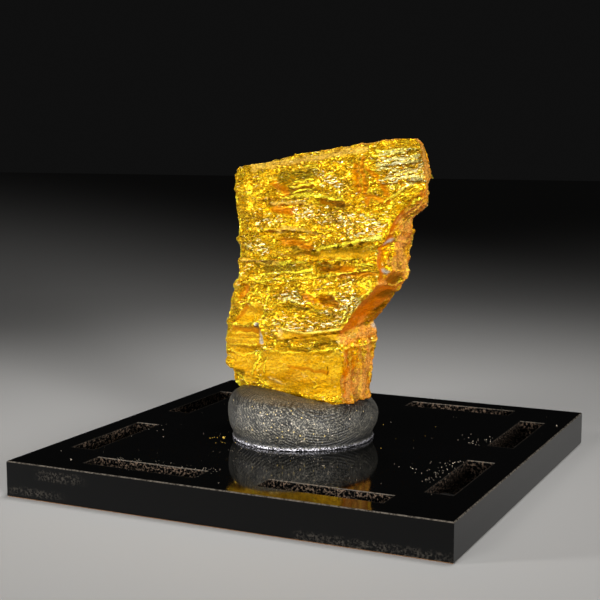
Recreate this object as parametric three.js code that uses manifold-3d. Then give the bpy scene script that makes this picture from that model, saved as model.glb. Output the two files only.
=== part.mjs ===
// An orpiment specimen: a golden cleavage slab held upright in a lump of mineral tack on a black base.
// Millimetres, +Z up. The origin is the middle of the base's underside, and +X runs along its front edge.

import * as THREE from 'three';
import { mergeVertices } from 'three/addons/utils/BufferGeometryUtils.js';
import Module from 'manifold-3d';

const wasm = await Module();
wasm.setup();

// Display base: a 3 inch square of acrylic sheet with two slots along each side.
const baseSide = 76.2;
const baseThickness = 6;
const baseEdgeBreak = 0.15;
const slotLength = 20.6;
const slotWidth = 4.4;
const slotFromMiddle = 31.7;
const slotAlongSide = 15.7;

// Mounting putty: a pressed lump with a thin lip squeezed out round its foot.
const puttyX = -2.4;
const puttyY = -1.1;
const puttyRadius = 13.1;
const puttyLipRadius = 12.45;
const puttyLipHeight = 0.35;
const puttySides = 40;
const puttyOval = 0.018;
const puttyLobes = 0.012;
const puttyTilt = 0.05;
const puttyHump = 0.25;
const puttyHumpTurn = THREE.MathUtils.degToRad(-165);
const clearance = 0.3;
const pocketSlack = 0.7;
const pocketFlare = 3;
const pocketHeight = 9;

// The putty's side above its lip, from its foot to the edge of its flat top, as [distance in from its
// widest, height] pairs.
const puttySide = [
  [1, 0.7], [0.7, 1.5], [0.15, 2.8], [0, 4.3], [0.2, 5.5], [0.8, 6.7], [1.7, 7.4], [4, 7.8], [9, 7.8],
];

// Crystal: a slab that stands on edge, its broad face turned to the left of the base's front.
const slabTurn = THREE.MathUtils.degToRad(-12);
const frontFace = 5.35;
const slabThicknessLow = 8.6;
const slabThicknessHigh = 6.4;
const footLeft = 13.4;
const footRight = 13.5;
const footSag = 0.8;
const crownLeft = 52.9;
const crownRight = 57.9;
const crownSwell = 0.4;
const leftWave = 0.5;
const acrossSteps = 36;
const depthSteps = 7;
const heightSteps = 42;

// The slab's edges as [height, place across] pairs, straight between them.
const leftEdge = [
  [13.4, -14.2], [15, -15.7], [17.6, -16.7], [21.2, -17.1], [23.4, -17.5], [25.8, -16.9], [28.4, -16.1],
  [31.9, -15.1], [33.2, -14.3], [37.4, -13.9], [40.9, -14.1], [46.9, -14.6], [51, -15.1], [52.9, -15.1],
];
const rightFrontEdge = [
  [13.5, 9.1], [17, 8.8], [21, 9.1], [24.9, 7.5], [26.6, 9.2], [30.4, 12], [34, 15.6], [36.6, 16.2],
  [38.2, 15.9], [40.3, 16.2], [43, 18.2], [45.8, 19.6], [48.5, 22.2], [50.5, 24.6], [52.3, 25.3],
  [55.3, 24.3], [57.9, 23.4],
];
const rightBackEdge = [
  [13.5, 9.2], [20.2, 9.7], [23.7, 10.9], [25.1, 10.4], [27.1, 10.3], [29.8, 12.9], [33.7, 16],
  [35.6, 17.5], [39.4, 17.2], [41.2, 18.2], [42.9, 19], [43.3, 18.4], [45.1, 18.6], [47.2, 20.9],
  [49.4, 21.8], [52.1, 22.2], [54.1, 22], [57.9, 20.6],
];

// Ledges run from one point to another across a broad face. The layer above stands out by `rise` and
// the surface below falls in by `fall`; both fade away over `reach`.
const frontLedges = [
  { from: [-7, 53.2], to: [4.5, 54], rise: 0.1, fall: 0.7, reach: 4 },
  { from: [-7.5, 47.7], to: [5, 48.4], rise: -0.1, fall: -0.5, reach: 1.6 },
  { from: [-7, 46.6], to: [3, 47.2], rise: 0.5, fall: 0.8, reach: 2.2 },
  { from: [-8, 42.2], to: [4.5, 42.1], rise: 0.6, fall: 0.8, reach: 2.6 },
  { from: [2.3, 38.9], to: [17, 42.1], rise: 0.5, fall: 0.4, reach: 1.8 },
  { from: [-13, 36.2], to: [2.6, 37.3], rise: 0.4, fall: 0.3, reach: 1.8 },
  { from: [2, 37.4], to: [12, 38.5], rise: 0.3, fall: 0.9, reach: 2 },
  { from: [2.5, 34.4], to: [16, 36.8], rise: 0.4, fall: 0.6, reach: 1.6 },
  { from: [-17, 25.1], to: [-8.8, 25.2], rise: 0.5, fall: 0.9, reach: 3.4 },
  { from: [-5, 22.9], to: [8.5, 25.9], rise: 0.5, fall: 0.6, reach: 1.8 },
  { from: [-16.5, 17.4], to: [-9, 15.4], rise: 0.1, fall: 1.1, reach: 2.8 },
  { from: [17, 55.2], to: [25, 56.2], rise: 0.2, fall: 0.4, reach: 1.4 },
  { from: [17, 53.2], to: [25, 54.2], rise: 0.2, fall: 0.4, reach: 1.4 },
  { from: [17, 50.6], to: [25, 51.8], rise: 0.3, fall: 0.4, reach: 1.6 },
];
const backLedges = [
  { from: [-16, 19], to: [9, 20.5], rise: 0.5, fall: 0.7, reach: 2.6 },
  { from: [-16, 27.5], to: [4, 29.5], rise: 0.6, fall: 0.6, reach: 2.2 },
  { from: [-4, 33.5], to: [17, 35.5], rise: 0.5, fall: 0.8, reach: 2.4 },
  { from: [-14, 40.5], to: [12, 43.5], rise: 0.7, fall: 0.7, reach: 3 },
  { from: [-2, 48], to: [23, 51.5], rise: 0.4, fall: 0.8, reach: 2.4 },
];

// Pits and swellings of the front face: middle, half size across and up, and how far out they stand.
const frontMounds = [
  { at: [6.2, 47.3], half: [3.4, 1.3], out: -0.8 },
  { at: [0, 39.6], half: [5.6, 1.8], out: -0.9 },
  { at: [6.1, 30.9], half: [2.8, 1.4], out: -1 },
  { at: [-7, 29.4], half: [5, 2.6], out: 0.7 },
  { at: [-12.4, 30.6], half: [1.4, 2], out: -0.6 },
  { at: [2.5, 22.6], half: [4.5, 1.2], out: -0.5 },
  { at: [-1, 18], half: [8, 4], out: 0.5 },
  { at: [15.4, 51.4], half: [2.2, 3], out: 0.7 },
  { at: [11.9, 51.6], half: [0.9, 3], out: -0.6 },
];

// Swellings of the broken right side: height, depth from the front as a share, half sizes and reach.
const sideMounds = [
  { height: 48.6, depth: 0.3, halfHeight: 2.8, halfDepth: 0.22, out: 0.9 },
  { height: 45.4, depth: 0.62, halfHeight: 1.6, halfDepth: 0.25, out: -0.8 },
  { height: 38, depth: 0.5, halfHeight: 3.4, halfDepth: 0.4, out: 0.8 },
  { height: 40.6, depth: 0.12, halfHeight: 1, halfDepth: 0.2, out: -0.5 },
  { height: 30, depth: 0.45, halfHeight: 3.2, halfDepth: 0.45, out: -0.8 },
  { height: 25.4, depth: 0.6, halfHeight: 1.2, halfDepth: 0.4, out: 0.5 },
  { height: 18, depth: 0.72, halfHeight: 6, halfDepth: 0.12, out: 0.3 },
];

// Two sets of low folds that cross the faces and rise to the right.
const foldRise = 0.14;
const broadFold = 0.15;
const broadFoldRate = 0.8;
const fineFold = 0.1;
const fineFoldRate = 1.7;

const crownBevel = 1.2;
const crownBevelHeight = 1.4;
const footBevel = 0.7;
const footBevelHeight = 1.2;
const leftChamfer = 0.9;
const leftChamferWidth = 3;

const lerp = THREE.MathUtils.lerp;
const smoothstep = THREE.MathUtils.smoothstep;

/** The value at `height` of an edge given as [height, value] pairs. */
function along(edge, height) {
  const last = edge.length - 1;
  if (height <= edge[0][0]) return edge[0][1];
  if (height >= edge[last][0]) return edge[last][1];
  const upper = edge.findIndex((pair) => pair[0] > height);
  const [lowHeight, lowValue] = edge[upper - 1];
  const [highHeight, highValue] = edge[upper];
  return lerp(lowValue, highValue, (height - lowHeight) / (highHeight - lowHeight));
}

/** How much a ledge moves the surface outwards at a point of a broad face. */
function ledgeAt(ledge, across, height) {
  const [fromAcross, fromHeight] = ledge.from;
  const [toAcross, toHeight] = ledge.to;
  const share = (across - fromAcross) / (toAcross - fromAcross);
  const ends = smoothstep(share, -0.08, 0.08) * (1 - smoothstep(share, 0.92, 1.08));
  const above = height - lerp(fromHeight, toHeight, share);
  const fade = Math.max(0, 1 - Math.abs(above) / ledge.reach);
  return ends * fade * (above > 0 ? ledge.rise : -ledge.fall);
}

/** How much a mound moves the surface outwards at a point of a broad face. */
function moundAt(mound, across, height) {
  const awayAcross = (across - mound.at[0]) / mound.half[0];
  const awayUp = (height - mound.at[1]) / mound.half[1];
  return mound.out * Math.max(0, 1 - awayAcross * awayAcross - awayUp * awayUp);
}

/** How much a side mound moves the right side outwards. */
function sideMoundAt(mound, height, depth) {
  const awayUp = (height - mound.height) / mound.halfHeight;
  const awayDeep = (depth - mound.depth) / mound.halfDepth;
  return mound.out * Math.max(0, 1 - awayUp * awayUp - awayDeep * awayDeep);
}

/** Low folds that run across the slab and sway up and down on their way. */
function folds(across, height) {
  const level = height - foldRise * across;
  const sway = 1.3 * Math.sin(0.29 * across) + 0.8 * Math.sin(0.63 * across + 1.3);
  const broad = broadFold * Math.sin(broadFoldRate * level + sway);
  const fine = fineFold * Math.sin(fineFoldRate * level - 1.4 * sway);
  return broad + fine;
}

/** Outward place of the front face. */
function frontSurface(across, height, fromLeft, belowCrown, aboveFoot) {
  let out = frontFace + folds(across, height);
  for (const ledge of frontLedges) out += ledgeAt(ledge, across, height);
  for (const mound of frontMounds) out += moundAt(mound, across, height);
  out -= leftChamfer * Math.max(0, 1 - fromLeft / leftChamferWidth);
  out -= crownBevel * Math.max(0, 1 - belowCrown / crownBevelHeight);
  out -= footBevel * Math.max(0, 1 - aboveFoot / footBevelHeight);
  return out;
}

/** Outward place of the back face, measured along the same axis as the front face. */
function backSurface(across, height, share) {
  let out = frontFace - lerp(slabThicknessLow, slabThicknessHigh, share);
  out -= folds(across + 7, height + 3);
  for (const ledge of backLedges) out -= ledgeAt(ledge, across, height);
  return out;
}

/** Moves a corner of a unit grid onto the slab. Its shares run left-right, front-back and foot-crown. */
function slabPoint(point) {
  const acrossShare = point.x + 0.5;
  const depth = point.y + 0.5;
  const share = point.z + 0.5;
  const heightLeft = lerp(footLeft, crownLeft, share);
  const heightRight = lerp(footRight, crownRight, share);
  let right = lerp(along(rightFrontEdge, heightRight), along(rightBackEdge, heightRight), depth);
  for (const mound of sideMounds) right += sideMoundAt(mound, heightRight, depth);
  const left = along(leftEdge, heightLeft) + leftWave * depth * Math.sin(5 * depth + 0.6 * heightLeft);
  const across = lerp(left, right, acrossShare);
  const bow = 4 * acrossShare * (1 - acrossShare);
  const height = lerp(heightLeft, heightRight, acrossShare) + bow * lerp(-footSag, crownSwell, share);
  const crown = lerp(crownLeft, crownRight, acrossShare) + bow * crownSwell;
  const foot = lerp(footLeft, footRight, acrossShare) - bow * footSag;
  const front = frontSurface(across, height, across - left, crown - height, height - foot);
  const back = backSurface(across, height, share);
  return new THREE.Vector3(across, -lerp(front, back, depth), height);
}

/** Deletes what keeps shared corners apart and merges them. */
function joined(geometry) {
  geometry.deleteAttribute('normal');
  geometry.deleteAttribute('uv');
  return mergeVertices(geometry, 1e-4);
}

function reshape(geometry, move) {
  const position = geometry.attributes.position;
  const point = new THREE.Vector3();
  for (let i = 0; i < position.count; i += 1) {
    point.fromBufferAttribute(position, i);
    const moved = move(point);
    position.setXYZ(i, moved.x, moved.y, moved.z);
  }
  return geometry;
}

function toSolid(geometry) {
  const vertProperties = new Float32Array(geometry.attributes.position.array);
  const triVerts = new Uint32Array(geometry.index.array);
  return new wasm.Manifold(new wasm.Mesh({ numProp: 3, vertProperties, triVerts }));
}

function toGeometry(solid) {
  const mesh = solid.getMesh();
  const geometry = new THREE.BufferGeometry();
  geometry.setAttribute('position', new THREE.BufferAttribute(mesh.vertProperties, 3));
  geometry.setIndex(new THREE.BufferAttribute(mesh.triVerts, 1));
  return geometry;
}

function crystalGeometry() {
  const grid = joined(new THREE.BoxGeometry(1, 1, 1, acrossSteps, depthSteps, heightSteps));
  return reshape(grid, slabPoint).rotateZ(slabTurn);
}

/** A square sheet of acrylic with its edges just broken. */
function sheetSolid() {
  const half = baseSide / 2 - baseEdgeBreak;
  const outline = new THREE.Shape();
  outline.moveTo(-half, -half);
  outline.lineTo(half, -half);
  outline.lineTo(half, half);
  outline.lineTo(-half, half);
  outline.closePath();
  const sheet = new THREE.ExtrudeGeometry(outline, {
    depth: baseThickness - 2 * baseEdgeBreak,
    bevelEnabled: true,
    bevelSegments: 1,
    bevelSize: baseEdgeBreak,
    bevelThickness: baseEdgeBreak,
  });
  return toSolid(joined(sheet.translate(0, 0, baseEdgeBreak)));
}

function slotSolid(x, y, width, length) {
  const slot = new THREE.BoxGeometry(width, length, 3 * baseThickness);
  return toSolid(joined(slot.translate(x, y, baseThickness / 2)));
}

function baseGeometry() {
  let base = sheetSolid();
  for (const side of [-1, 1]) {
    for (const end of [-1, 1]) {
      const inward = side * slotFromMiddle;
      const sideways = end * slotAlongSide;
      base = base.subtract(slotSolid(inward, sideways, slotWidth, slotLength));
      base = base.subtract(slotSolid(sideways, inward, slotLength, slotWidth));
    }
  }
  return toGeometry(base);
}

function puttyProfile() {
  const top = puttySide[puttySide.length - 1][1];
  const side = puttySide.map(([inward, height]) => new THREE.Vector2(puttyRadius - inward, height));
  return [
    new THREE.Vector2(0, 0),
    new THREE.Vector2(puttyLipRadius, 0),
    new THREE.Vector2(puttyLipRadius, puttyLipHeight),
    ...side,
    new THREE.Vector2(0, top),
  ];
}

/** Thumb-pressed unevenness: a plan that isn't quite round, and a top that is highest at the left. */
function pressPutty(point) {
  const turn = Math.atan2(point.y, point.x);
  const high = smoothstep(point.z, 2, 8);
  const swell = 1 + puttyOval * high * Math.sin(2 * turn + 0.6) + puttyLobes * Math.sin(3 * turn + 1.1);
  const hump = puttyHump * high * Math.max(0, Math.cos(turn - puttyHumpTurn));
  const height = point.z + hump - puttyTilt * high * point.x;
  return new THREE.Vector3(point.x * swell, point.y * swell, height);
}

/** The space that the crystal's foot and its clearance take out of the putty. */
function footPocket() {
  const left = leftEdge[0][1] - clearance;
  const right = rightFrontEdge[0][1] + clearance;
  const floor = footLeft - clearance;
  const outline = new THREE.Shape();
  outline.moveTo(left - pocketFlare, floor + pocketHeight);
  outline.lineTo(left - pocketFlare, floor + pocketFlare);
  outline.lineTo(left, floor);
  outline.quadraticCurveTo((left + right) / 2, floor - 2 * footSag, right, floor);
  outline.lineTo(right + pocketSlack, floor + pocketHeight);
  outline.closePath();
  const depth = slabThicknessLow + 2 * pocketSlack;
  const pocket = new THREE.ExtrudeGeometry(outline, { depth, bevelEnabled: false, curveSegments: 8 });
  pocket.rotateX(Math.PI / 2);
  pocket.translate(0, depth - frontFace - pocketSlack, 0);
  return joined(pocket.rotateZ(slabTurn));
}

function puttyGeometry() {
  const lump = joined(new THREE.LatheGeometry(puttyProfile(), puttySides).rotateX(Math.PI / 2));
  reshape(lump, pressPutty).translate(puttyX, puttyY, baseThickness + clearance);
  const solid = toSolid(lump).subtract(toSolid(footPocket()));
  return toGeometry(solid);
}

function piece(name, geometry, finish) {
  const mesh = new THREE.Mesh(geometry, new THREE.MeshStandardMaterial(finish));
  mesh.name = name;
  return mesh;
}

const blackAcrylic = { color: 0x111110, roughness: 0.08, metalness: 0 };
const mineralTack = { color: 0x3a3a3c, roughness: 0.6, metalness: 0 };
const orpiment = { color: 0xd7a00a, roughness: 0.3, metalness: 0.2 };

const specimen = new THREE.Group();
specimen.add(piece('display_base', baseGeometry(), blackAcrylic));
specimen.add(piece('mounting_putty', puttyGeometry(), mineralTack));
specimen.add(piece('orpiment_crystal', crystalGeometry(), orpiment));

export default specimen;
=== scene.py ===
"""Looks of an orpiment specimen: a golden cleavage slab in a lump of mineral tack on a black display base."""

import math
import random
from types import SimpleNamespace

import bmesh
import bpy
from bpy.props import FloatProperty, FloatVectorProperty, IntProperty, PointerProperty
from mathutils import Matrix, Vector, noise


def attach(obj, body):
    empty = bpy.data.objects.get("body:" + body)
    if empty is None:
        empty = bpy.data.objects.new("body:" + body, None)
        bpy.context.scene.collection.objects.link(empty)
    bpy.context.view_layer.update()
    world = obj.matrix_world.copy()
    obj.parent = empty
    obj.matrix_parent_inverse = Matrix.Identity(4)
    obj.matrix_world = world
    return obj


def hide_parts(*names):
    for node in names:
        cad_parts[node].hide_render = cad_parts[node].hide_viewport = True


bl_info = {
    "name": "Orpiment Specimen",
    "version": (1, 0, 0),
    "blender": (4, 5, 0),
    "location": "3D View > Sidebar > Specimen",
    "description": "Builds an orpiment slab, its mounting putty, its display base and a small studio",
    "category": "Add Mesh",
}

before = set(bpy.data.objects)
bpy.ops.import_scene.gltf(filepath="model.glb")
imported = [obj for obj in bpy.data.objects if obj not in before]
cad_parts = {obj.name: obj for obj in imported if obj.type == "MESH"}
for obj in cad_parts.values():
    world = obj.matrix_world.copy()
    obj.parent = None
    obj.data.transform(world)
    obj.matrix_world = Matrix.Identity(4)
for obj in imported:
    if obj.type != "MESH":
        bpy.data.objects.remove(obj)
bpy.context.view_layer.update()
BODY = "root"
MM = 0.001

# The slab is shaped in its own frame, in millimetres: X runs along its broad face, Y into its depth, Z up.
SLAB_TURN = math.radians(-12)
FRONT_FACE = 5.35
THICKNESS_LOW = 8.6
THICKNESS_HIGH = 6.4
FOOT_LEFT = 13.4
FOOT_RIGHT = 13.5
FOOT_SAG = 0.8
CROWN_LEFT = 52.9
CROWN_RIGHT = 57.9
# How far the layers rise for each millimetre to the right.
RISE = 0.14
# The crown swells between shares of the way across, and its right corner is rounded off.
CROWN_SWELL = 0.55
SWELL_STARTS, SWELL_FULL, SWELL_FALLS = 0.15, 0.42, 0.9
CORNER_STARTS, CORNER_WIDTH, CORNER_DROP = 0.95, 0.05, 0.9

# Edges of the slab as (height, place along the face) pairs.
LEFT_EDGE = (
    (13.4, -14.2), (15, -15.7), (17.6, -16.7), (21.2, -17.1), (23.4, -17.5), (25.8, -16.9), (28.4, -16.1),
    (31.9, -15.1), (33.2, -14.3), (37.4, -13.9), (40.9, -14.1), (46.9, -14.6), (51, -15.1), (52.9, -15.1),
)
RIGHT_FRONT_EDGE = (
    (13.5, 9.1), (17, 8.8), (21, 9.1), (24.9, 7.5), (26.6, 9.2), (30.4, 12), (34, 15.6), (36.6, 16.2),
    (38.2, 15.9), (40.3, 16.2), (43, 18.2), (45.8, 19.6), (48.5, 22.2), (50.5, 24.6), (52.3, 25.3),
    (55.3, 24.3), (57.9, 23.4),
)
RIGHT_BACK_EDGE = (
    (13.5, 9.2), (20.2, 9.7), (23.7, 10.9), (25.1, 10.4), (27.1, 10.3), (29.8, 12.9), (33.7, 16),
    (35.6, 17.5), (39.4, 17.2), (41.2, 18.2), (42.9, 19), (43.3, 18.4), (45.1, 18.6), (47.2, 20.9),
    (49.4, 21.6), (50.8, 21.5), (52.1, 21.8), (54.1, 21.8), (57.9, 20.6),
)

# Ledges: start and end on the face, how far the layer above stands out, how far the surface below falls
# in, and the height over which both fade.
FRONT_LEDGES = (
    ((-7, 53.2), (4.5, 54), 0.1, 0.7, 4),
    ((-7.5, 47.7), (5, 48.4), -0.1, -0.5, 1.6),
    ((-7, 46.6), (3, 47.2), 0.5, 0.8, 2.2),
    ((-8, 42.2), (4.5, 42.1), 0.6, 0.8, 2.6),
    ((2.3, 38.9), (17, 42.1), 0.5, 0.4, 1.8),
    ((-13, 36.2), (2.6, 37.3), 0.4, 0.3, 1.8),
    ((2, 37.4), (12, 38.5), 0.3, 0.9, 2),
    ((2.5, 34.4), (16, 36.8), 0.4, 0.6, 1.6),
    ((-17, 25.1), (-8.8, 25.2), 0.5, 0.9, 3.4),
    ((-5, 22.9), (8.5, 25.9), 0.5, 0.6, 1.8),
    ((-16.5, 17.4), (-9, 15.4), 0.1, 1.1, 2.8),
    ((17, 55.2), (25, 56.2), 0.2, 0.4, 1.4),
    ((17, 53.2), (25, 54.2), 0.2, 0.4, 1.4),
    ((17, 50.6), (25, 51.8), 0.3, 0.4, 1.6),
)
BACK_LEDGES = (
    ((-16, 19), (9, 20.5), 0.5, 0.7, 2.6),
    ((-16, 27.5), (4, 29.5), 0.6, 0.6, 2.2),
    ((-4, 33.5), (17, 35.5), 0.5, 0.8, 2.4),
    ((-14, 40.5), (12, 43.5), 0.7, 0.7, 3),
    ((-2, 48), (23, 51.5), 0.4, 0.8, 2.4),
)
# How far a ledge fades past each of its ends, and half the height of its step.
LEDGE_END = 0.5
LEDGE_STEP = 0.12
# Pits and swellings of the front: middle, half sizes and how far out they stand.
FRONT_MOUNDS = (
    ((6.2, 47.3), (3.4, 1.3), -0.8),
    ((0, 39.6), (5.6, 1.8), -0.9),
    ((6.1, 30.9), (2.8, 1.4), -1),
    ((-7, 29.4), (5, 2.6), 0.7),
    ((-12.4, 30.6), (1.4, 2), -0.6),
    ((2.5, 22.6), (4.5, 1.2), -0.5),
    ((-1, 18), (8, 4), 0.5),
    ((15.4, 51.4), (2.2, 3), 0.7),
    ((11.9, 51.6), (0.9, 3), -0.6),
)
# Swellings of the broken right side: height, depth share, half height, half depth, how far out.
SIDE_MOUNDS = (
    (48.6, 0.3, 2.8, 0.22, 0.9),
    (45.4, 0.62, 1.6, 0.25, -0.8),
    (38, 0.5, 3.4, 0.4, 0.8),
    (40.6, 0.12, 1, 0.2, -0.5),
    (30, 0.45, 3.2, 0.45, -0.8),
    (25.4, 0.6, 1.2, 0.4, 0.5),
    (18, 0.72, 6, 0.12, 0.3),
    (50.8, 0.92, 1.3, 0.22, -0.6),
)
# Spacing of the lines along the layers, and the relief of lines, lumps, splinters and pits.
FINE_LINES, BROAD_LINES = 0.62, 1.3
LINE_RELIEF, LUMP_RELIEF, SPLINTER_RELIEF, PIT_RELIEF = 0.03, 0.45, 0.5, 0.22
# The back reads the layers' noise this far from where the front reads it.
BACK_SHIFT = 20.0
# The finest relief stays this far under the top of the crown.
CROWN_MARGIN = 0.001
CROWN_BEVEL = 1.2
CROWN_BEVEL_HEIGHT = 1.4
FOOT_BEVEL = 0.7
FOOT_BEVEL_HEIGHT = 1.2
LEFT_CHAMFER = 0.9
LEFT_CHAMFER_WIDTH = 3

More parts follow.
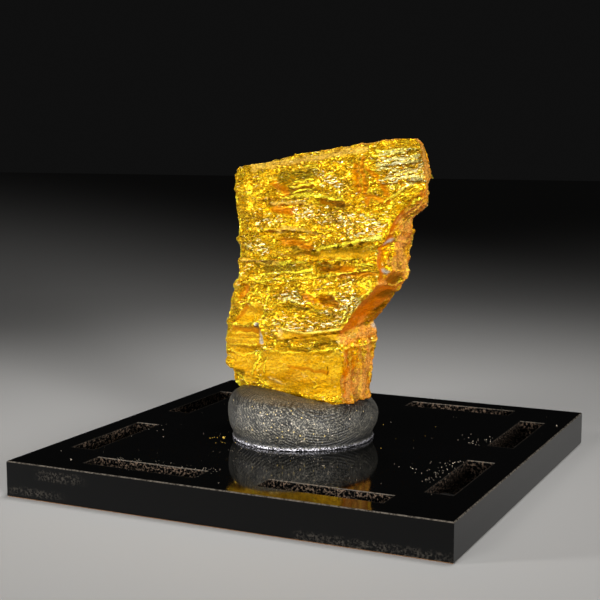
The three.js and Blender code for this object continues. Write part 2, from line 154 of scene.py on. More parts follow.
# Marks on the front, as strokes: half width, how far they stand out, and points on the face.
FRONT_STROKES = {
    "salmon": (
        (0.8, 0.1, ((-11.1, 53.1), (-2.7, 54), (5.7, 55.3), (13.1, 56.3))),
        (0.35, 0.15, ((-6, 46.8), (0, 47.2), (1.3, 47.3), (3.2, 46.6))),
        (0.4, 0.15, ((-5, 41.9), (-2.7, 42.8), (0.6, 42.8), (3.2, 42.1))),
        (0.3, 0.1, ((-12.6, 36.7), (-8.5, 36.5), (-4.4, 36.7))),
        (0.3, 0.12, ((-4.3, 30.6), (-2.8, 30.2))),
    ),
    "orange": (
        (0.8, -0.15, ((-1.8, 49.3), (2.8, 50))),
        (1.1, -0.1, ((-4.9, 49.8), (-3.4, 48.8))),
        (0.9, -0.25, ((-6, 45.9), (-1.6, 45.5))),
        (0.6, 0, ((4.6, 47.5), (8.6, 47.1))),
        (0.7, -0.15, ((11.3, 53.4), (12, 49.4))),
        (0.6, -0.15, ((12.9, 54.8), (13.7, 47.6))),
        (0.6, 0.1, ((14.4, 52.9), (16.1, 51.9))),
        (0.5, 0, ((16.1, 51.6), (17.7, 48.9))),
        (0.5, -0.1, ((14.3, 48.6), (18.3, 47.7))),
        (1, -0.15, ((-3.8, 40.4), (1.6, 39.6))),
        (0.8, -0.2, ((4.4, 36.6), (11.2, 36.5))),
        (0.5, 0, ((7.5, 35.2), (15.3, 36.2))),
        (0.9, -0.35, ((-13.3, 30.2), (-11.8, 31.9))),
        (0.5, 0, ((-11.3, 29.1), (-14, 25.2))),
        (1.2, -0.15, ((4.9, 30.8), (7.6, 30.6))),
        (0.7, 0, ((1.2, 31.3), (3.2, 30.9))),
        (0.6, -0.1, ((-15.8, 24.3), (-9.4, 24.3))),
        (0.35, 0, ((-1.5, 18.9), (6.5, 18.6))),
    ),
    # Olive: dark patches, partly the stone's colour and partly painted shade in hollows.
    "olive": (
        (1.6, -0.25, ((-3.5, 51.3), (2.4, 52))),
        (1.1, -0.25, ((4.4, 47.4), (8.6, 47.2))),
        (0.8, 0, ((6, 44.5), (11.5, 44))),
        (0.7, -0.2, ((-9, 40.9), (-8.6, 40.9))),
        (0.8, -0.15, ((-2, 38.9), (3.6, 39))),
        (0.9, -0.15, ((5, 39.7), (15.6, 40.2))),
        (0.6, -0.25, ((-10, 35.9), (-9.8, 35.9))),
        (0.9, -0.1, ((-8, 35.5), (2.2, 36))),
        (0.8, -0.15, ((3.6, 36.3), (8, 36.8))),
        (0.5, -0.1, ((-2.8, 29.2), (6.5, 28.8))),
        (0.9, -0.2, ((-2.2, 48.9), (2.8, 49.6))),
        (0.5, -0.15, ((-3.3, 31.5), (-2.3, 31))),
        (0.5, -0.2, ((-0.8, 31.9), (0.4, 31))),
        (0.8, -0.2, ((4.8, 30.8), (7.9, 30.6))),
        (0.3, -0.15, ((-3.6, 23.1), (-2.3, 21.9), (1.7, 22.2), (6.5, 23.7))),
        (0.35, -0.1, ((3.6, 24.4), (7.7, 24))),
        (0.7, -0.15, ((-15, 16.6), (-12.6, 16.6))),
        (0.14, -0.25, ((6, 19.7), (6.1, 18.9), (6.4, 18.2))),
    ),
    # Lines: raised edges; their brightness is a painted highlight, with painted olive shade beneath.
    "line": (
        (0.22, 0.22, ((0.3, 53.3), (3.5, 53.6))),
        (0.22, 0.3, ((-2.3, 49.7), (3.5, 50.5))),
        (0.2, 0.25, ((-2, 48.9), (3.2, 49.8))),
        (0.35, 0.2, ((-3.3, 48), (0.3, 48.5), (3.8, 48.6), (7, 47.9), (9.2, 47.9))),
        (0.3, 0.2, ((-4.4, 36.6), (-0.7, 37.1), (2.6, 37.4))),
        (0.4, 0.25, ((3.8, 39.3), (8.6, 40.5), (13.2, 41.5), (16.8, 42.2))),
        (0.22, 0.25, ((3.5, 37.1), (7, 37.8), (10.8, 38.4), (12, 37.3), (15.6, 37.6))),
        (0.2, 0.2, ((3.5, 34.6), (8.6, 35.6), (15.7, 36.6))),
        (0.18, 0.18, ((-9.5, 33.2), (-3.5, 33.9), (2.9, 34.9))),
        (0.18, 0.18, ((-8.7, 34.4), (-0.8, 35.3), (2.9, 35.9))),
        (0.2, 0.22, ((-12.6, 32.7), (-10.1, 33.4), (-7.2, 32.7), (-6.4, 31.2), (-7, 28.4), (-9.3, 25.3))),
        (0.18, 0.12, ((-12.4, 30.5), (-10.1, 31.3), (-8.1, 30.8), (-7.5, 29.3))),
        (0.18, 0.12, ((-12.8, 28.9), (-10.7, 29.5), (-9.3, 28.5), (-9.6, 26.4))),
        (0.22, 0.22, ((-15.5, 24.9), (-12.5, 25.3), (-9.3, 25.1))),
        (0.16, 0.08, ((-16.1, 23.3), (-12.5, 23.7), (-9.3, 23.8))),
        (0.16, 0.08, ((-16.4, 22.3), (-12.5, 22.7), (-9, 22.9))),
        (0.2, 0.15, ((-15.5, 20.3), (-12.6, 19.7), (-9.6, 20.5), (-9, 18.7), (-10.8, 16.9))),
        (0.2, 0.12, ((-15, 15.9), (-13.2, 15.5), (-12, 14.4))),
        (0.16, 0.08, ((-7.9, 21.1), (-1.6, 21.3), (7.1, 22.7))),
        (0.18, 0.15, ((-5.2, 29.5), (-2.1, 30.4), (1.2, 30))),
        (0.2, 0.15, ((2.9, 36.3), (3, 33.4))),
        (0.3, 0.3, ((-3.3, 30.6), (-0.3, 30.3))),
        (0.25, 0.25, ((7.5, 31.9), (8.4, 31.2), (8.4, 30.2))),
        (0.22, 0.2, ((14.4, 34.9), (15.2, 33.9), (13.3, 32), (10.8, 29.3), (9.6, 27.5))),
        (0.22, 0.15, ((11.6, 32.2), (9.4, 29.2), (8.6, 27.3))),
        (0.22, 0.2, ((-3.8, 25.3), (1.7, 25), (8.9, 26.3))),
        (0.2, 0.15, ((-15.9, 21.4), (-9.4, 21.9))),
        (0.3, 0.25, ((-8.9, 20.6), (-9.4, 18.2), (-10.3, 16.6))),
        (0.25, 0.2, ((-6.9, 20), (-7.3, 17.4))),
        (0.18, 0.15, ((2.9, 17.6), (3.9, 17), (4.1, 16.3), (3.4, 15.8))),
        (0.2, 0.15, ((-6.4, 16.3), (-4.3, 15.7))),
        (0.25, 0.22, ((15.5, 55.8), (23.3, 56.4))),
        (0.25, 0.22, ((17, 54.5), (23.6, 55.3))),
        (0.25, 0.22, ((16.1, 53.6), (23.9, 54.4))),
        (0.25, 0.2, ((18.5, 52.9), (22.3, 53.3))),
        (0.22, 0.2, ((14.5, 55.2), (21, 55.8))),
        (0.22, 0.2, ((18.5, 54.1), (24.2, 54.8))),
        (0.22, 0.15, ((15, 52.9), (17.8, 53.2))),
        (0.25, 0.2, ((19.5, 52.2), (24.6, 53))),
        (0.22, 0.15, ((17.5, 51.4), (24, 52.2))),
        (0.18, 0.15, ((-1, 50.6), (2.8, 51.1))),
        (0.3, 0.15, ((17, 47.8), (21.6, 50.6), (24.8, 52))),
    ),
    "glint": (
        (1.5, 0, ((-4.5, 26.2), (2, 26.2), (8, 27.2))),
        (1.6, 0, ((-6.4, 24.4), (-4.3, 24.6))),
        (2.4, 0, ((9.6, 33.6), (11.4, 31.6), (9.8, 30.2))),
        (1.2, 0, ((5.6, 29.2), (7.6, 28.6))),
        (2.8, 0, ((18, 53.8), (23.5, 54.4))),
        (1.8, 0, ((18, 51), (24, 52))),
        (1.8, 0, ((-0.7, 45.4), (8, 44.8), (16.2, 44.4))),
        (1.6, 0, ((10, 42.6), (16, 43.4))),
        (1.4, 0, ((-11.6, 39.2), (-8.4, 39.4))),
        (1.2, 0, ((-9, 43.5), (-4, 43.8))),
        (1.8, 0, ((5, 51.5), (9.5, 50.2))),
        (1.2, 0, ((-4.5, 31.2), (1.5, 30.6))),
        (0.8, 0, ((-6.4, 16.3), (-4.3, 15.7))),
    ),
    "smooth": (
        (4.4, 0, ((-5, 18), (8, 18.6))),
        (2.4, 0, ((-15, 22.6), (-10, 23))),
        (3, 0, ((-13, 19.4), (-11.5, 17.5))),
        (1, 0, ((-3.8, 24.3), (1.7, 24.3), (8.9, 25.4))),
        (1.6, 0, ((-12, 26.6), (-9, 28))),
        (1, 0, ((4, 38.6), (14, 39.4))),
    ),
}
# Marks on the broken right side, with points given as millimetres from the front and height.
SIDE_STROKES = {
    "salmon": (
        (1.3, 0.35, ((0.5, 24.3), (4, 25.2), (8.5, 25.6))),
        (0.5, 0.3, ((0.2, 34.6), (2.4, 34.4))),
        (0.35, 0.15, ((1, 44.5), (2.2, 48), (3, 51.5))),
        (0.35, 0.15, ((3.6, 45.5), (4.6, 49), (5.2, 51))),
        (1.6, 0, ((4, 41), (6, 38), (6.5, 36.4))),
        (2.2, 0, ((2.6, 51), (2.8, 57))),
        (0.8, 0, ((4.4, 43.4), (6.4, 44.8))),
        (1.7, 0, ((5.6, 14.5), (6.6, 20))),
        (0.7, 0, ((1.4, 14.2), (2.4, 17))),
    ),
    "orange": (
        (3.8, 0, ((1, 27.5), (4.5, 30), (3, 33))),
        (0.5, 0, ((1, 15), (1.4, 22.4))),
        (0.4, 0, ((2.9, 15.5), (3.1, 21.5))),
        (1, 0, ((0.4, 35.5), (1, 41), (0.6, 46))),
        (0.4, -0.15, ((1.4, 45.2), (2.4, 47.2))),
    ),
    # Olive: dark patches, partly the stone's colour and partly painted shade in hollows.
    "olive": (
        (1.1, 0, ((5.8, 27.4), (6.4, 29), (7.2, 30.2))),
        (0.2, -0.2, ((3.4, 26.5), (5.9, 27))),
        (0.9, -0.3, ((4.2, 32.2), (7.4, 31.8))),
        (1.4, -0.2, ((3.2, 35), (5, 34.6))),
        (1, -0.15, ((4.4, 43.8), (5.6, 45.2))),
    ),
    # Lines: raised ridges; their brightness is a painted highlight, with painted olive shade beneath.
    "line": (
        (0.25, 0.25, ((0.4, 22.6), (2.6, 23.3), (5, 23.2), (8.4, 23.9))),
        (0.22, 0.35, ((0.6, 46.4), (0.9, 48.3), (3, 49.4), (5.6, 50))),
        (0.22, 0.35, ((0.6, 42.8), (2.8, 44.9), (4, 46.8), (5.8, 48.4))),
        (0.22, 0.3, ((2, 42.1), (4, 43.8), (6, 45.5))),
        (0.25, 0.3, ((2.4, 41.8), (4, 41.3), (5.6, 41))),
        (0.2, 0.25, ((2.6, 40.3), (5.7, 39.6), (6.9, 37.5), (6.8, 35.1), (5.8, 33.7), (3.3, 34.1))),
        (0.18, 0.15, ((2.9, 36.4), (4.9, 39.3))),
        (0.18, 0.15, ((2.9, 36.4), (6.9, 38.3))),
        (0.18, 0.15, ((2.9, 36.4), (7.2, 36.3))),
        (0.3, 0.15, ((8.3, 14), (8.3, 22.5))),
    ),
    "pale": (
        (0.7, 0.1, ((7.3, 26.2), (8.3, 27.2))),
        (0.5, 0.1, ((0.9, 41.2), (1.7, 41.6))),
        (0.45, 0.1, ((1.2, 36.6), (1.6, 36.2))),
    ),
}
# The pale sliver in the notch at the lower left of the front, as one stroke.
PALE_SLIVER = (0.42, -0.45, ((-8.9, 25.5), (-8.9, 24.2), (-8.4, 22.4)))
# How far below a bright edge its olive shade lies, and how strong it is.
UNDER_EDGE = 0.45
UNDER_EDGE_SHARE = 0.5
# What a stroke can mark; each becomes an attribute that the slab's material reads.
MARKS = ("salmon", "orange", "olive", "line", "glint", "smooth", "pale")

BASE_TOP = 6.0
BASE_HALF = 38.1
EDGE_BREAK = 0.15
# The broken edges lie past these sums and differences of the distance out and the height.
RIM_MARGIN = 0.02
RIM_ABOVE = BASE_HALF + BASE_TOP - EDGE_BREAK - RIM_MARGIN
RIM_BELOW = BASE_HALF - EDGE_BREAK - RIM_MARGIN
FRONT_SIDE = 0.1 - BASE_HALF
# One slot of each direction: middle and half sizes. The others are its mirror images.
SLOT_ALONG = ((15.7, 31.7, 0), (10.3, 2.2, 0))
SLOT_ACROSS = ((31.7, 15.7, 0), (2.2, 10.3, 0))
# Scuffed stretches of the base's front: left, right, low, high.
SCUFFS = ((-37.5, -27.5, 0.7, 1.9), (14, 38, 0, 1.5), (-32, -23.5, 3.6, 5.2))
# How far grains stay from a slot, from the putty and from the base's rim.
SLOT_CLEARANCE = 0.1
PUTTY_CLEARANCE = 0.3
RIM_CLEARANCE = 0.5
# Loose grains on the base: middle, half spread, how many, and how large against the usual grain.
PALE_DUST = (
    ((28.2, -14), (1.3, 7.5), 46, 0.7),
    ((26.8, -12), (2.6, 4.5), 16, 0.8),
    ((27.6, 7), (1.8, 2.6), 18, 0.8),
    ((26, 9.5), (3, 3), 6, 0.8),
    ((22, -15), (2, 1.5), 5, 1.2),
    ((-13, -28.6), (10, 0.8), 40, 0.6),
    ((-12, -32), (9, 3), 26, 0.6),
    ((-27.4, -7.3), (3, 4), 8, 0.7),
    ((-29.1, -33.2), (0.5, 0.5), 3, 1.3),
    ((36.7, 25), (0.4, 0.4), 2, 1.6),
    ((9.7, -18.9), (0.3, 0.3), 2, 1.5),
    ((0, -15.5), (9, 1.6), 60, 0.6),
    ((0, 0), (36, 36), 90, 0.55),
)
GOLD_DUST = (
    ((-13.7, -9.2), (0.3, 0.3), 2, 2.2),
    ((-15, -9.3), (1.6, 1.2), 7, 0.8),
    ((-11.6, -12.3), (1.8, 1), 6, 0.7),
    ((0, 0), (20, 20), 24, 0.8),
)

PUTTY_AT = (-2.4, -1.1)
PUTTY_LIFT = 0.02
PUTTY_RADIUS = 13.1
PUTTY_LIP_RADIUS = 12.45
# Points of the putty's profile, as how far inside its radius, or its lip's, they are and how high.
PUTTY_LIP = ((0.3, 0.0), (0.0, 0.12), (0.0, 0.3))
PUTTY_SIDE = (
    (1, 0.7), (0.7, 1.5), (0.15, 2.8), (0, 4.3), (0.2, 5.5), (0.8, 6.7), (1.7, 7.4), (4, 7.8), (9, 7.8),
)
PROFILE_SPACING = 0.16
PROFILE_SOFTENINGS = 6
MERGE_DISTANCE = 1e-4
HUMP_TOWARDS = math.radians(-165)
# Degrees round the putty between which the front of its lip, where the painted glitter is strongest, starts
# and ends.
LIP_FRONT_LEFT, LIP_FRONT_RIGHT = (-140, -120), (-25, -45)
# The dent under the slab, in the slab's frame: its sides, how far it clears the foot, how softly it starts.
DENT_LEFT, DENT_RIGHT, DENT_BACK = -14.6, 9.3, 3.3
DENT_CLEARANCE = 0.1
DENT_EDGE = 0.3

# Square lights: name, place, side, power and spread in degrees. All of them face one point.
LIGHTS = (
    ("key", (-0.16, -0.52, 0.34), 0.22, 0.06, 34),
    ("glint", (-0.45, -0.36, 0.08), 0.09, 0.16, 36),
    ("fill", (0.44, -0.32, 0.12), 0.2, 0.23, 30),
    ("top", (0.05, 0.08, 0.55), 0.2, 0.08, 30),
)
LIT_POINT = Vector((0, 0, 0.03))
DARK_ROOM = (0.005, 0.005, 0.005, 1)

CAMERA_AT = Vector((0.09045, -0.19677, 0.05809))
CAMERA_AZIMUTH = math.radians(25.5)
CAMERA_ELEVATION = math.radians(7.39)
CAMERA_LENS = 75.19
SENSOR_WIDTH = 36.0
CLIP_START = 0.01


def lerp(low, high, share):
    return low + (high - low) * share


def clamp(value, low=0.0, high=1.0):
    return min(high, max(low, value))


def smoothstep(low, high, value):
    share = clamp((value - low) / (high - low))
    return share * share * (3 - 2 * share)


# ---------------------------------------------------------------- settings


class CrystalSettings(bpy.types.PropertyGroup):
    across_cells: IntProperty(name="Cells across", description="Mesh cells along the broad face", default=156)
    depth_cells: IntProperty(name="Cells deep", description="Mesh cells through the slab", default=24)
    height_cells: IntProperty(name="Cells high", description="Mesh cells up the slab", default=250)
    terrace: FloatProperty(
        name="Terrace", description="Height of one torn cleavage layer", default=0.00018, unit="LENGTH")
    crumple: FloatProperty(
        name="Crumple", description="Depth of the drawn-out creases", default=0.00016, unit="LENGTH")
    sheet: FloatProperty(
        name="Sheet", description="Thickness of one thin cleavage sheet", default=0.00006, unit="LENGTH")
    gold: FloatVectorProperty(
        name="Gold", description="Cleavage face", subtype="COLOR", default=(0.76, 0.325, 0.0))
    lemon: FloatVectorProperty(
        name="Lemon", description="Brightest layers", subtype="COLOR", default=(0.90, 0.70, 0.03))
    umber: FloatVectorProperty(
        name="Umber", description="Shaded, thicker layers", subtype="COLOR", default=(0.205, 0.074, 0.0))
    rust: FloatVectorProperty(
        name="Rust", description="Deepest broken hollows", subtype="COLOR", default=(0.50, 0.078, 0.0))
    salmon: FloatVectorProperty(
        name="Salmon", description="Torn layer edges", subtype="COLOR", default=(0.80, 0.46, 0.068))
    flesh: FloatVectorProperty(
        name="Flesh", description="Dull broken surfaces", subtype="COLOR", default=(0.78, 0.30, 0.06))
    amber: FloatVectorProperty(
        name="Amber", description="Smooth, brushed surfaces", subtype="COLOR", default=(0.56, 0.245, 0.0))


class PuttySettings(bpy.types.PropertyGroup):
    colour: FloatVectorProperty(
        name="Putty", description="Mineral tack", subtype="COLOR", default=(0.016, 0.0155, 0.0145))
    ridge_pitch: FloatProperty(
        name="Ridge pitch", description="Distance between finger ridges", default=0.0005, unit="LENGTH")
    ridge_height: FloatProperty(
        name="Ridge height", description="Height of the finger ridges", default=0.00005, unit="LENGTH")
    ridge_centre: FloatVectorProperty(
        name="Ridge centre", description="Middle of the finger's rings", subtype="TRANSLATION",
        default=(0.0067, -0.0111, 0.0214))
    dust_middle: FloatVectorProperty(
        name="Dust middle", description="Where most golden dust has stuck", subtype="TRANSLATION",
        default=(0.0005, -0.0135, 0.0105))
    turns: IntProperty(name="Steps round", description="Mesh steps round the putty", default=300)


class BaseSettings(bpy.types.PropertyGroup):
    colour: FloatVectorProperty(
        name="Acrylic", description="Black acrylic", subtype="COLOR", default=(0.0015, 0.0015, 0.0015))
    dust: FloatVectorProperty(
        name="Dust", description="Pale dust", subtype="COLOR", default=(0.35, 0.30, 0.24))


class DustSettings(bpy.types.PropertyGroup):
    grain: FloatProperty(name="Grain", description="Radius of a dust grain", default=0.00006, unit="LENGTH")
    seed: IntProperty(name="Seed", description="Seed of the scatter", default=7)


class StageSettings(bpy.types.PropertyGroup):
    floor: FloatVectorProperty(
        name="Floor", description="Floor colour", subtype="COLOR", default=(0.44, 0.43, 0.415))
    floor_size: FloatProperty(name="Floor size", description="Side of the floor", default=3.0, unit="LENGTH")


# ---------------------------------------------------------------- crystal shape


def along(edge, height):
    """The place of an edge at a height, straight between its points."""
    if height <= edge[0][0]:
        return edge[0][1]
    for (low, start), (high, end) in zip(edge, edge[1:]):
        if height <= high:
            return lerp(start, end, (height - low) / (high - low))
    return edge[-1][1]


def ledge_at(ledge, across, height):
    (start, start_height), (end, end_height), rise, fall, reach = ledge
    if across < start - LEDGE_END or across > end + LEDGE_END:
        return 0.0
    starts = smoothstep(start - LEDGE_END, start + LEDGE_END, across)
    ends = starts * (1 - smoothstep(end - LEDGE_END, end + LEDGE_END, across))
    share = (across - start) / (end - start)
    ragged = 0.25 * noise.noise(Vector((across * 0.9, start_height, 0.0)))
    above = height - lerp(start_height, end_height, share) - ragged
    fade = max(0.0, 1 - abs(above) / reach)
    step = smoothstep(-LEDGE_STEP, LEDGE_STEP, above)
    return ends * fade * lerp(-fall, rise, step)


def mound_at(mound, across, height):
    (middle, middle_height), (half, half_height), out = mound
    gone = ((across - middle) / half) ** 2 + ((height - middle_height) / half_height) ** 2
    return out * max(0.0, 1 - gone)


def folds(across, height):
    """Low folds that run across the slab and rise to the right."""
    level = height - RISE * across
    sway = 1.3 * math.sin(0.29 * across) + 0.8 * math.sin(0.63 * across + 1.3)
    return 0.15 * math.sin(0.8 * level + sway) + 0.1 * math.sin(1.7 * level - 1.4 * sway)


def front_surface(across, height, from_left, below_crown, above_foot):
    out = FRONT_FACE + folds(across, height)
    out += sum(ledge_at(ledge, across, height) for ledge in FRONT_LEDGES)
    out += sum(mound_at(mound, across, height) for mound in FRONT_MOUNDS)
    out -= LEFT_CHAMFER * max(0.0, 1 - from_left / LEFT_CHAMFER_WIDTH)
    out -= CROWN_BEVEL * max(0.0, 1 - below_crown / CROWN_BEVEL_HEIGHT)
    out -= FOOT_BEVEL * max(0.0, 1 - above_foot / FOOT_BEVEL_HEIGHT)
    return out


def back_surface(across, height, share):
    out = FRONT_FACE - lerp(THICKNESS_LOW, THICKNESS_HIGH, share)
    out -= folds(across + 7, height + 3)
    out -= sum(ledge_at(ledge, across, height) for ledge in BACK_LEDGES)
    return out


def side_mound_at(mound, height, depth):
    middle, middle_depth, half_height, half_depth, out = mound
    gone = ((height - middle) / half_height) ** 2 + ((depth - middle_depth) / half_depth) ** 2
    return out * max(0.0, 1 - gone)


def crown_swell(across_share):
    """The crown's height above a straight edge: a low swelling, and a rounded right corner."""
    corner = clamp((across_share - CORNER_STARTS) / CORNER_WIDTH) ** 2
    swell = CROWN_SWELL * smoothstep(SWELL_STARTS, SWELL_FULL, across_share)
    return swell * smoothstep(1.0, SWELL_FALLS, across_share) - CORNER_DROP * corner


def slab_point(across_share, depth, share):
    """A point of the slab from shares that run left to right, front to back and foot to crown."""
    height_left = lerp(FOOT_LEFT, CROWN_LEFT, share)
    height_right = lerp(FOOT_RIGHT, CROWN_RIGHT, share)
    right = lerp(along(RIGHT_FRONT_EDGE, height_right), along(RIGHT_BACK_EDGE, height_right), depth)
    right += sum(side_mound_at(mound, height_right, depth) for mound in SIDE_MOUNDS)
    left = along(LEFT_EDGE, height_left) + 0.5 * math.sin(5 * depth + 0.6 * height_left) * depth
    across = lerp(left, right, across_share)
    sag = 4 * across_share * (1 - across_share) * FOOT_SAG
    swell = crown_swell(across_share)
    height = lerp(height_left, height_right, across_share) + lerp(-sag, swell * share ** 4, share)
    crown = lerp(CROWN_LEFT, CROWN_RIGHT, across_share) + swell
    foot = lerp(FOOT_LEFT, FOOT_RIGHT, across_share) - sag
    front = front_surface(across, height, across - left, crown - height, height - foot)
    back = back_surface(across, height, share)
    return Vector((across, -lerp(front, back, depth), height))


def share_at(half, points, x, z):
    """1 on a stroke's line, falling to 0 at its half width."""
    best = 0.0
    for (ax, az), (bx, bz) in zip(points, points[1:]):
        dx, dz = bx - ax, bz - az
        on = clamp(((x - ax) * dx + (z - az) * dz) / (dx * dx + dz * dz))
        gone = ((x - ax - on * dx) ** 2 + (z - az - on * dz) ** 2) / (half * half)
        best = max(best, 1 - gone)
    return best


def boxed(table):
    """The strokes of a table, each with the box outside which it does nothing."""
    strokes = []
    for kind, entries in table.items():
        for half, out, points in entries:
            xs, zs = [p[0] for p in points], [p[1] for p in points]
            box = (min(xs) - half, max(xs) + half, min(zs) - half - UNDER_EDGE, max(zs) + half)
            strokes.append((kind, half, out, points, box))
    return strokes


BOXED_FRONT = boxed(FRONT_STROKES)
BOXED_SIDE = boxed(SIDE_STROKES)


def read_strokes(strokes, x, z, ragged):
    """The marks at a point of a surface, and how far they move it out."""
    x += ragged * noise.noise(Vector((x * 0.8, z * 1.6, 3.0)))
    z += 0.6 * ragged * noise.noise(Vector((x * 0.7, z * 1.4, 13.0)))
    marks = dict.fromkeys(MARKS, 0.0)
    move = 0.0
    for kind, half, out, points, (x0, x1, z0, z1) in strokes:
        if x0 < x < x1 and z0 < z < z1:
            share = share_at(half, points, x, z)
            if share > 0:
                marks[kind] = max(marks[kind], share)
                move += out * share
            # A painted olive shade lies under each bright line.
            if kind == "line":
                shade = UNDER_EDGE_SHARE * share_at(half, points, x, z + UNDER_EDGE)
                marks["olive"] = max(marks["olive"], shade)
    return marks, move


def layered(across, height, step):
    """Torn cleavage layers: a drawn-out noise cut into flat terraces with sharp edges."""
    level = height - RISE * across
    warp = noise.noise(Vector((across * 0.35, level * 0.5, 9.0)))
    where = Vector((across * 0.085, level * 0.34 + 0.2 * warp, 4.0))
    count = 0.9 * noise.fractal(where, 0.9, 2.3, 5) / step
    whole = math.floor(count)
    return step * (whole + smoothstep(0.75, 1.0, count - whole))


def creases(across, height, side):
    """Crumpled sheet: creases between long, thin cells, in two sizes."""
    level = height - RISE * across
    broad = noise.voronoi(Vector((across * 0.32, level * 1.1, side)))[0]
    fine = noise.voronoi(Vector((across * 0.9, level * 2.4, side + 5)))[0]
    return 0.6 * (broad[1] - broad[0]) + 0.4 * (fine[1] - fine[0]) - 0.3


def striae(across, height):
    """Fine lines along the layers."""
    level = height - RISE * across
    sway = 2.2 * noise.noise(Vector((across * 0.12, level * 0.4, 2.0)))
    fine = math.sin(2 * math.pi * level / FINE_LINES + sway * 2) * 0.5
    return fine + math.sin(2 * math.pi * level / BROAD_LINES + sway)


def face_detail(x, z, side, marks, settings):
    """Relief of a cleavage face: layers, crumpling where it glints, and fine lines."""
    calm = marks["smooth"]
    glint = clamp(0.45 + marks["glint"] - calm)
    out = (1 - 0.8 * calm) * layered(x, z + side, settings.terrace / MM)
    out += settings.crumple / MM * glint * creases(x, z, side)
    return out + LINE_RELIEF * (1 - 0.6 * calm) * striae(x, z)


def broken_detail(point):
    """Relief of a broken side: lumps, splinters and the edges of thin sheets."""
    lumps = noise.fractal(Vector((point.x * 0.55, point.y * 0.55, point.z * 0.36)), 0.7, 2.1, 6)
    bend = 0.5 * noise.noise(point * 0.4)
    sheets = abs(noise.noise(Vector((point.x * 0.5, point.y * 2.2 + bend, point.z * 0.25))))
    pits = abs(noise.noise(point * 1.4))
    return LUMP_RELIEF * lumps + SPLINTER_RELIEF * (0.3 - sheets) - PIT_RELIEF * pits


def cut_edges(bm, axis, cuts):
    """Cuts every edge that runs along an axis into equal lengths."""
    edges = [e for e in bm.edges if abs((e.verts[1].co - e.verts[0].co)[axis]) > 1e-6]
    bmesh.ops.subdivide_edges(bm, edges=edges, cuts=cuts - 1, use_grid_fill=True)


def finish_mesh(bm, name):
    """Turns a bmesh into a named object of the scene."""
    mesh = bpy.data.meshes.new(name)
    bm.to_mesh(mesh)
    bm.free()
    piece = bpy.data.objects.new(name, mesh)
    bpy.context.scene.collection.objects.link(piece)
    return piece


def store(mesh, name, values):
    """Keeps one number for each vertex, for the material to read."""
    layer = mesh.attributes.new(name, "FLOAT", "POINT")
    layer.data.foreach_set("value", values)


# Corners of the unit block's grid that lie this far out are on one of its faces.
ON_FACE = 0.499


def side_of(unit):
    """The face of the unit block that a grid corner lies on, broad faces first."""
    if abs(unit.y) > ON_FACE:
        return "front" if unit.y < 0 else "back"
    if abs(unit.x) > ON_FACE:
        return "right" if unit.x > 0 else "left"
    return "crown" if unit.z > 0 else "foot"


def surface_marks(side, co, front):
    """The marks at a point of the slab, and how far they move it out; `front` is the front's place there."""
    if side == "front":
        marks, move = read_strokes(BOXED_FRONT, co.x, co.z, 0.5)
        half, out, points = PALE_SLIVER
        sliver = share_at(half, points, co.x, co.z)
        marks["pale"] = clamp(2.4 * sliver)
        return marks, move + out * sliver
    if side == "right":
        return read_strokes(BOXED_SIDE, co.y - front, co.z, 0.4)
    marks = dict.fromkeys(MARKS, 0.0)
    patch = noise.noise(Vector((co.x * 0.16, co.y * 0.3, co.z * 0.22)))
    marks["glint"] = clamp(0.4 + 1.6 * patch)
    marks["orange"] = clamp(0.15 - 1.4 * patch)
    marks["salmon"] = smoothstep(14, 9, co.x + 3 * patch) if side == "crown" else 0.0
    return marks, 0.0


def painted_edge_highlight(unit, co):
    """Painted highlights, bright edges like those of thin sheets, along the slab's left front corner and its
    right back corner.
    """
    left = smoothstep(-0.484, -0.494, unit.x) * (unit.y < 0.2)
    back = smoothstep(0.44, 0.49, unit.y) * (unit.x > 0.49)
    ragged = smoothstep(-0.25, 0.15, noise.noise(co * 0.6))
    return 0.8 * max(left, back) * ragged


def shape_crystal(settings):
    """The slab as a fine grid, with the marks of each of its corners."""
    bm = bmesh.new()
    bmesh.ops.create_cube(bm, size=1)
    for axis, cuts in enumerate((settings.across_cells, settings.depth_cells, settings.height_cells)):
        cut_edges(bm, axis, cuts)
    units = [vert.co.copy() for vert in bm.verts]
    for vert, unit in zip(bm.verts, units):
        vert.co = slab_point(unit.x + 0.5, unit.y + 0.5, unit.z + 0.5)
    bm.normal_update()
    all_marks, moves = [], []
    for vert, unit in zip(bm.verts, units):
        side, co = side_of(unit), vert.co
        front = slab_point(1, 0, unit.z + 0.5).y if side == "right" else 0.0
        marks, move = surface_marks(side, co, front)
        face = face_detail(co.x, co.z, 0.0 if unit.y < 0 else BACK_SHIFT, marks, settings)
        facing = smoothstep(0.35, 0.8, abs(vert.normal.y))
        even = 0.3 if side == "left" else 1 - 0.75 * clamp(marks["orange"] + marks["salmon"])
        move += lerp(even * broken_detail(co), face, facing)
        # Painted edge highlights join the drawn lines.
        marks["line"] = max(marks["line"], painted_edge_highlight(unit, co))
        # The material paints shade into the low places from this relief.
        marks["relief"] = move
        all_marks.append(marks)
        moves.append(vert.normal * move)
    for vert, move in zip(bm.verts, moves):
        vert.co += move
        vert.co.z = min(vert.co.z, CROWN_RIGHT - CROWN_MARGIN)
    bm.normal_update()
    for vert, marks in zip(bm.verts, all_marks):
        marks["edge"] = 1 - abs(vert.normal.y)
        marks["up"] = vert.normal.z
    return bm, all_marks


# ---------------------------------------------------------------- putty shape


def putty_profile():
    """Radius and height of the putty from the middle of its underside to the middle of its top."""
    lip = [(PUTTY_LIP_RADIUS - inward, height) for inward, height in PUTTY_LIP]
    side = [(PUTTY_RADIUS - inward, height) for inward, height in PUTTY_SIDE]
    return [(0.0, 0.0)] + lip + side + [(0.0, PUTTY_SIDE[-1][1])]


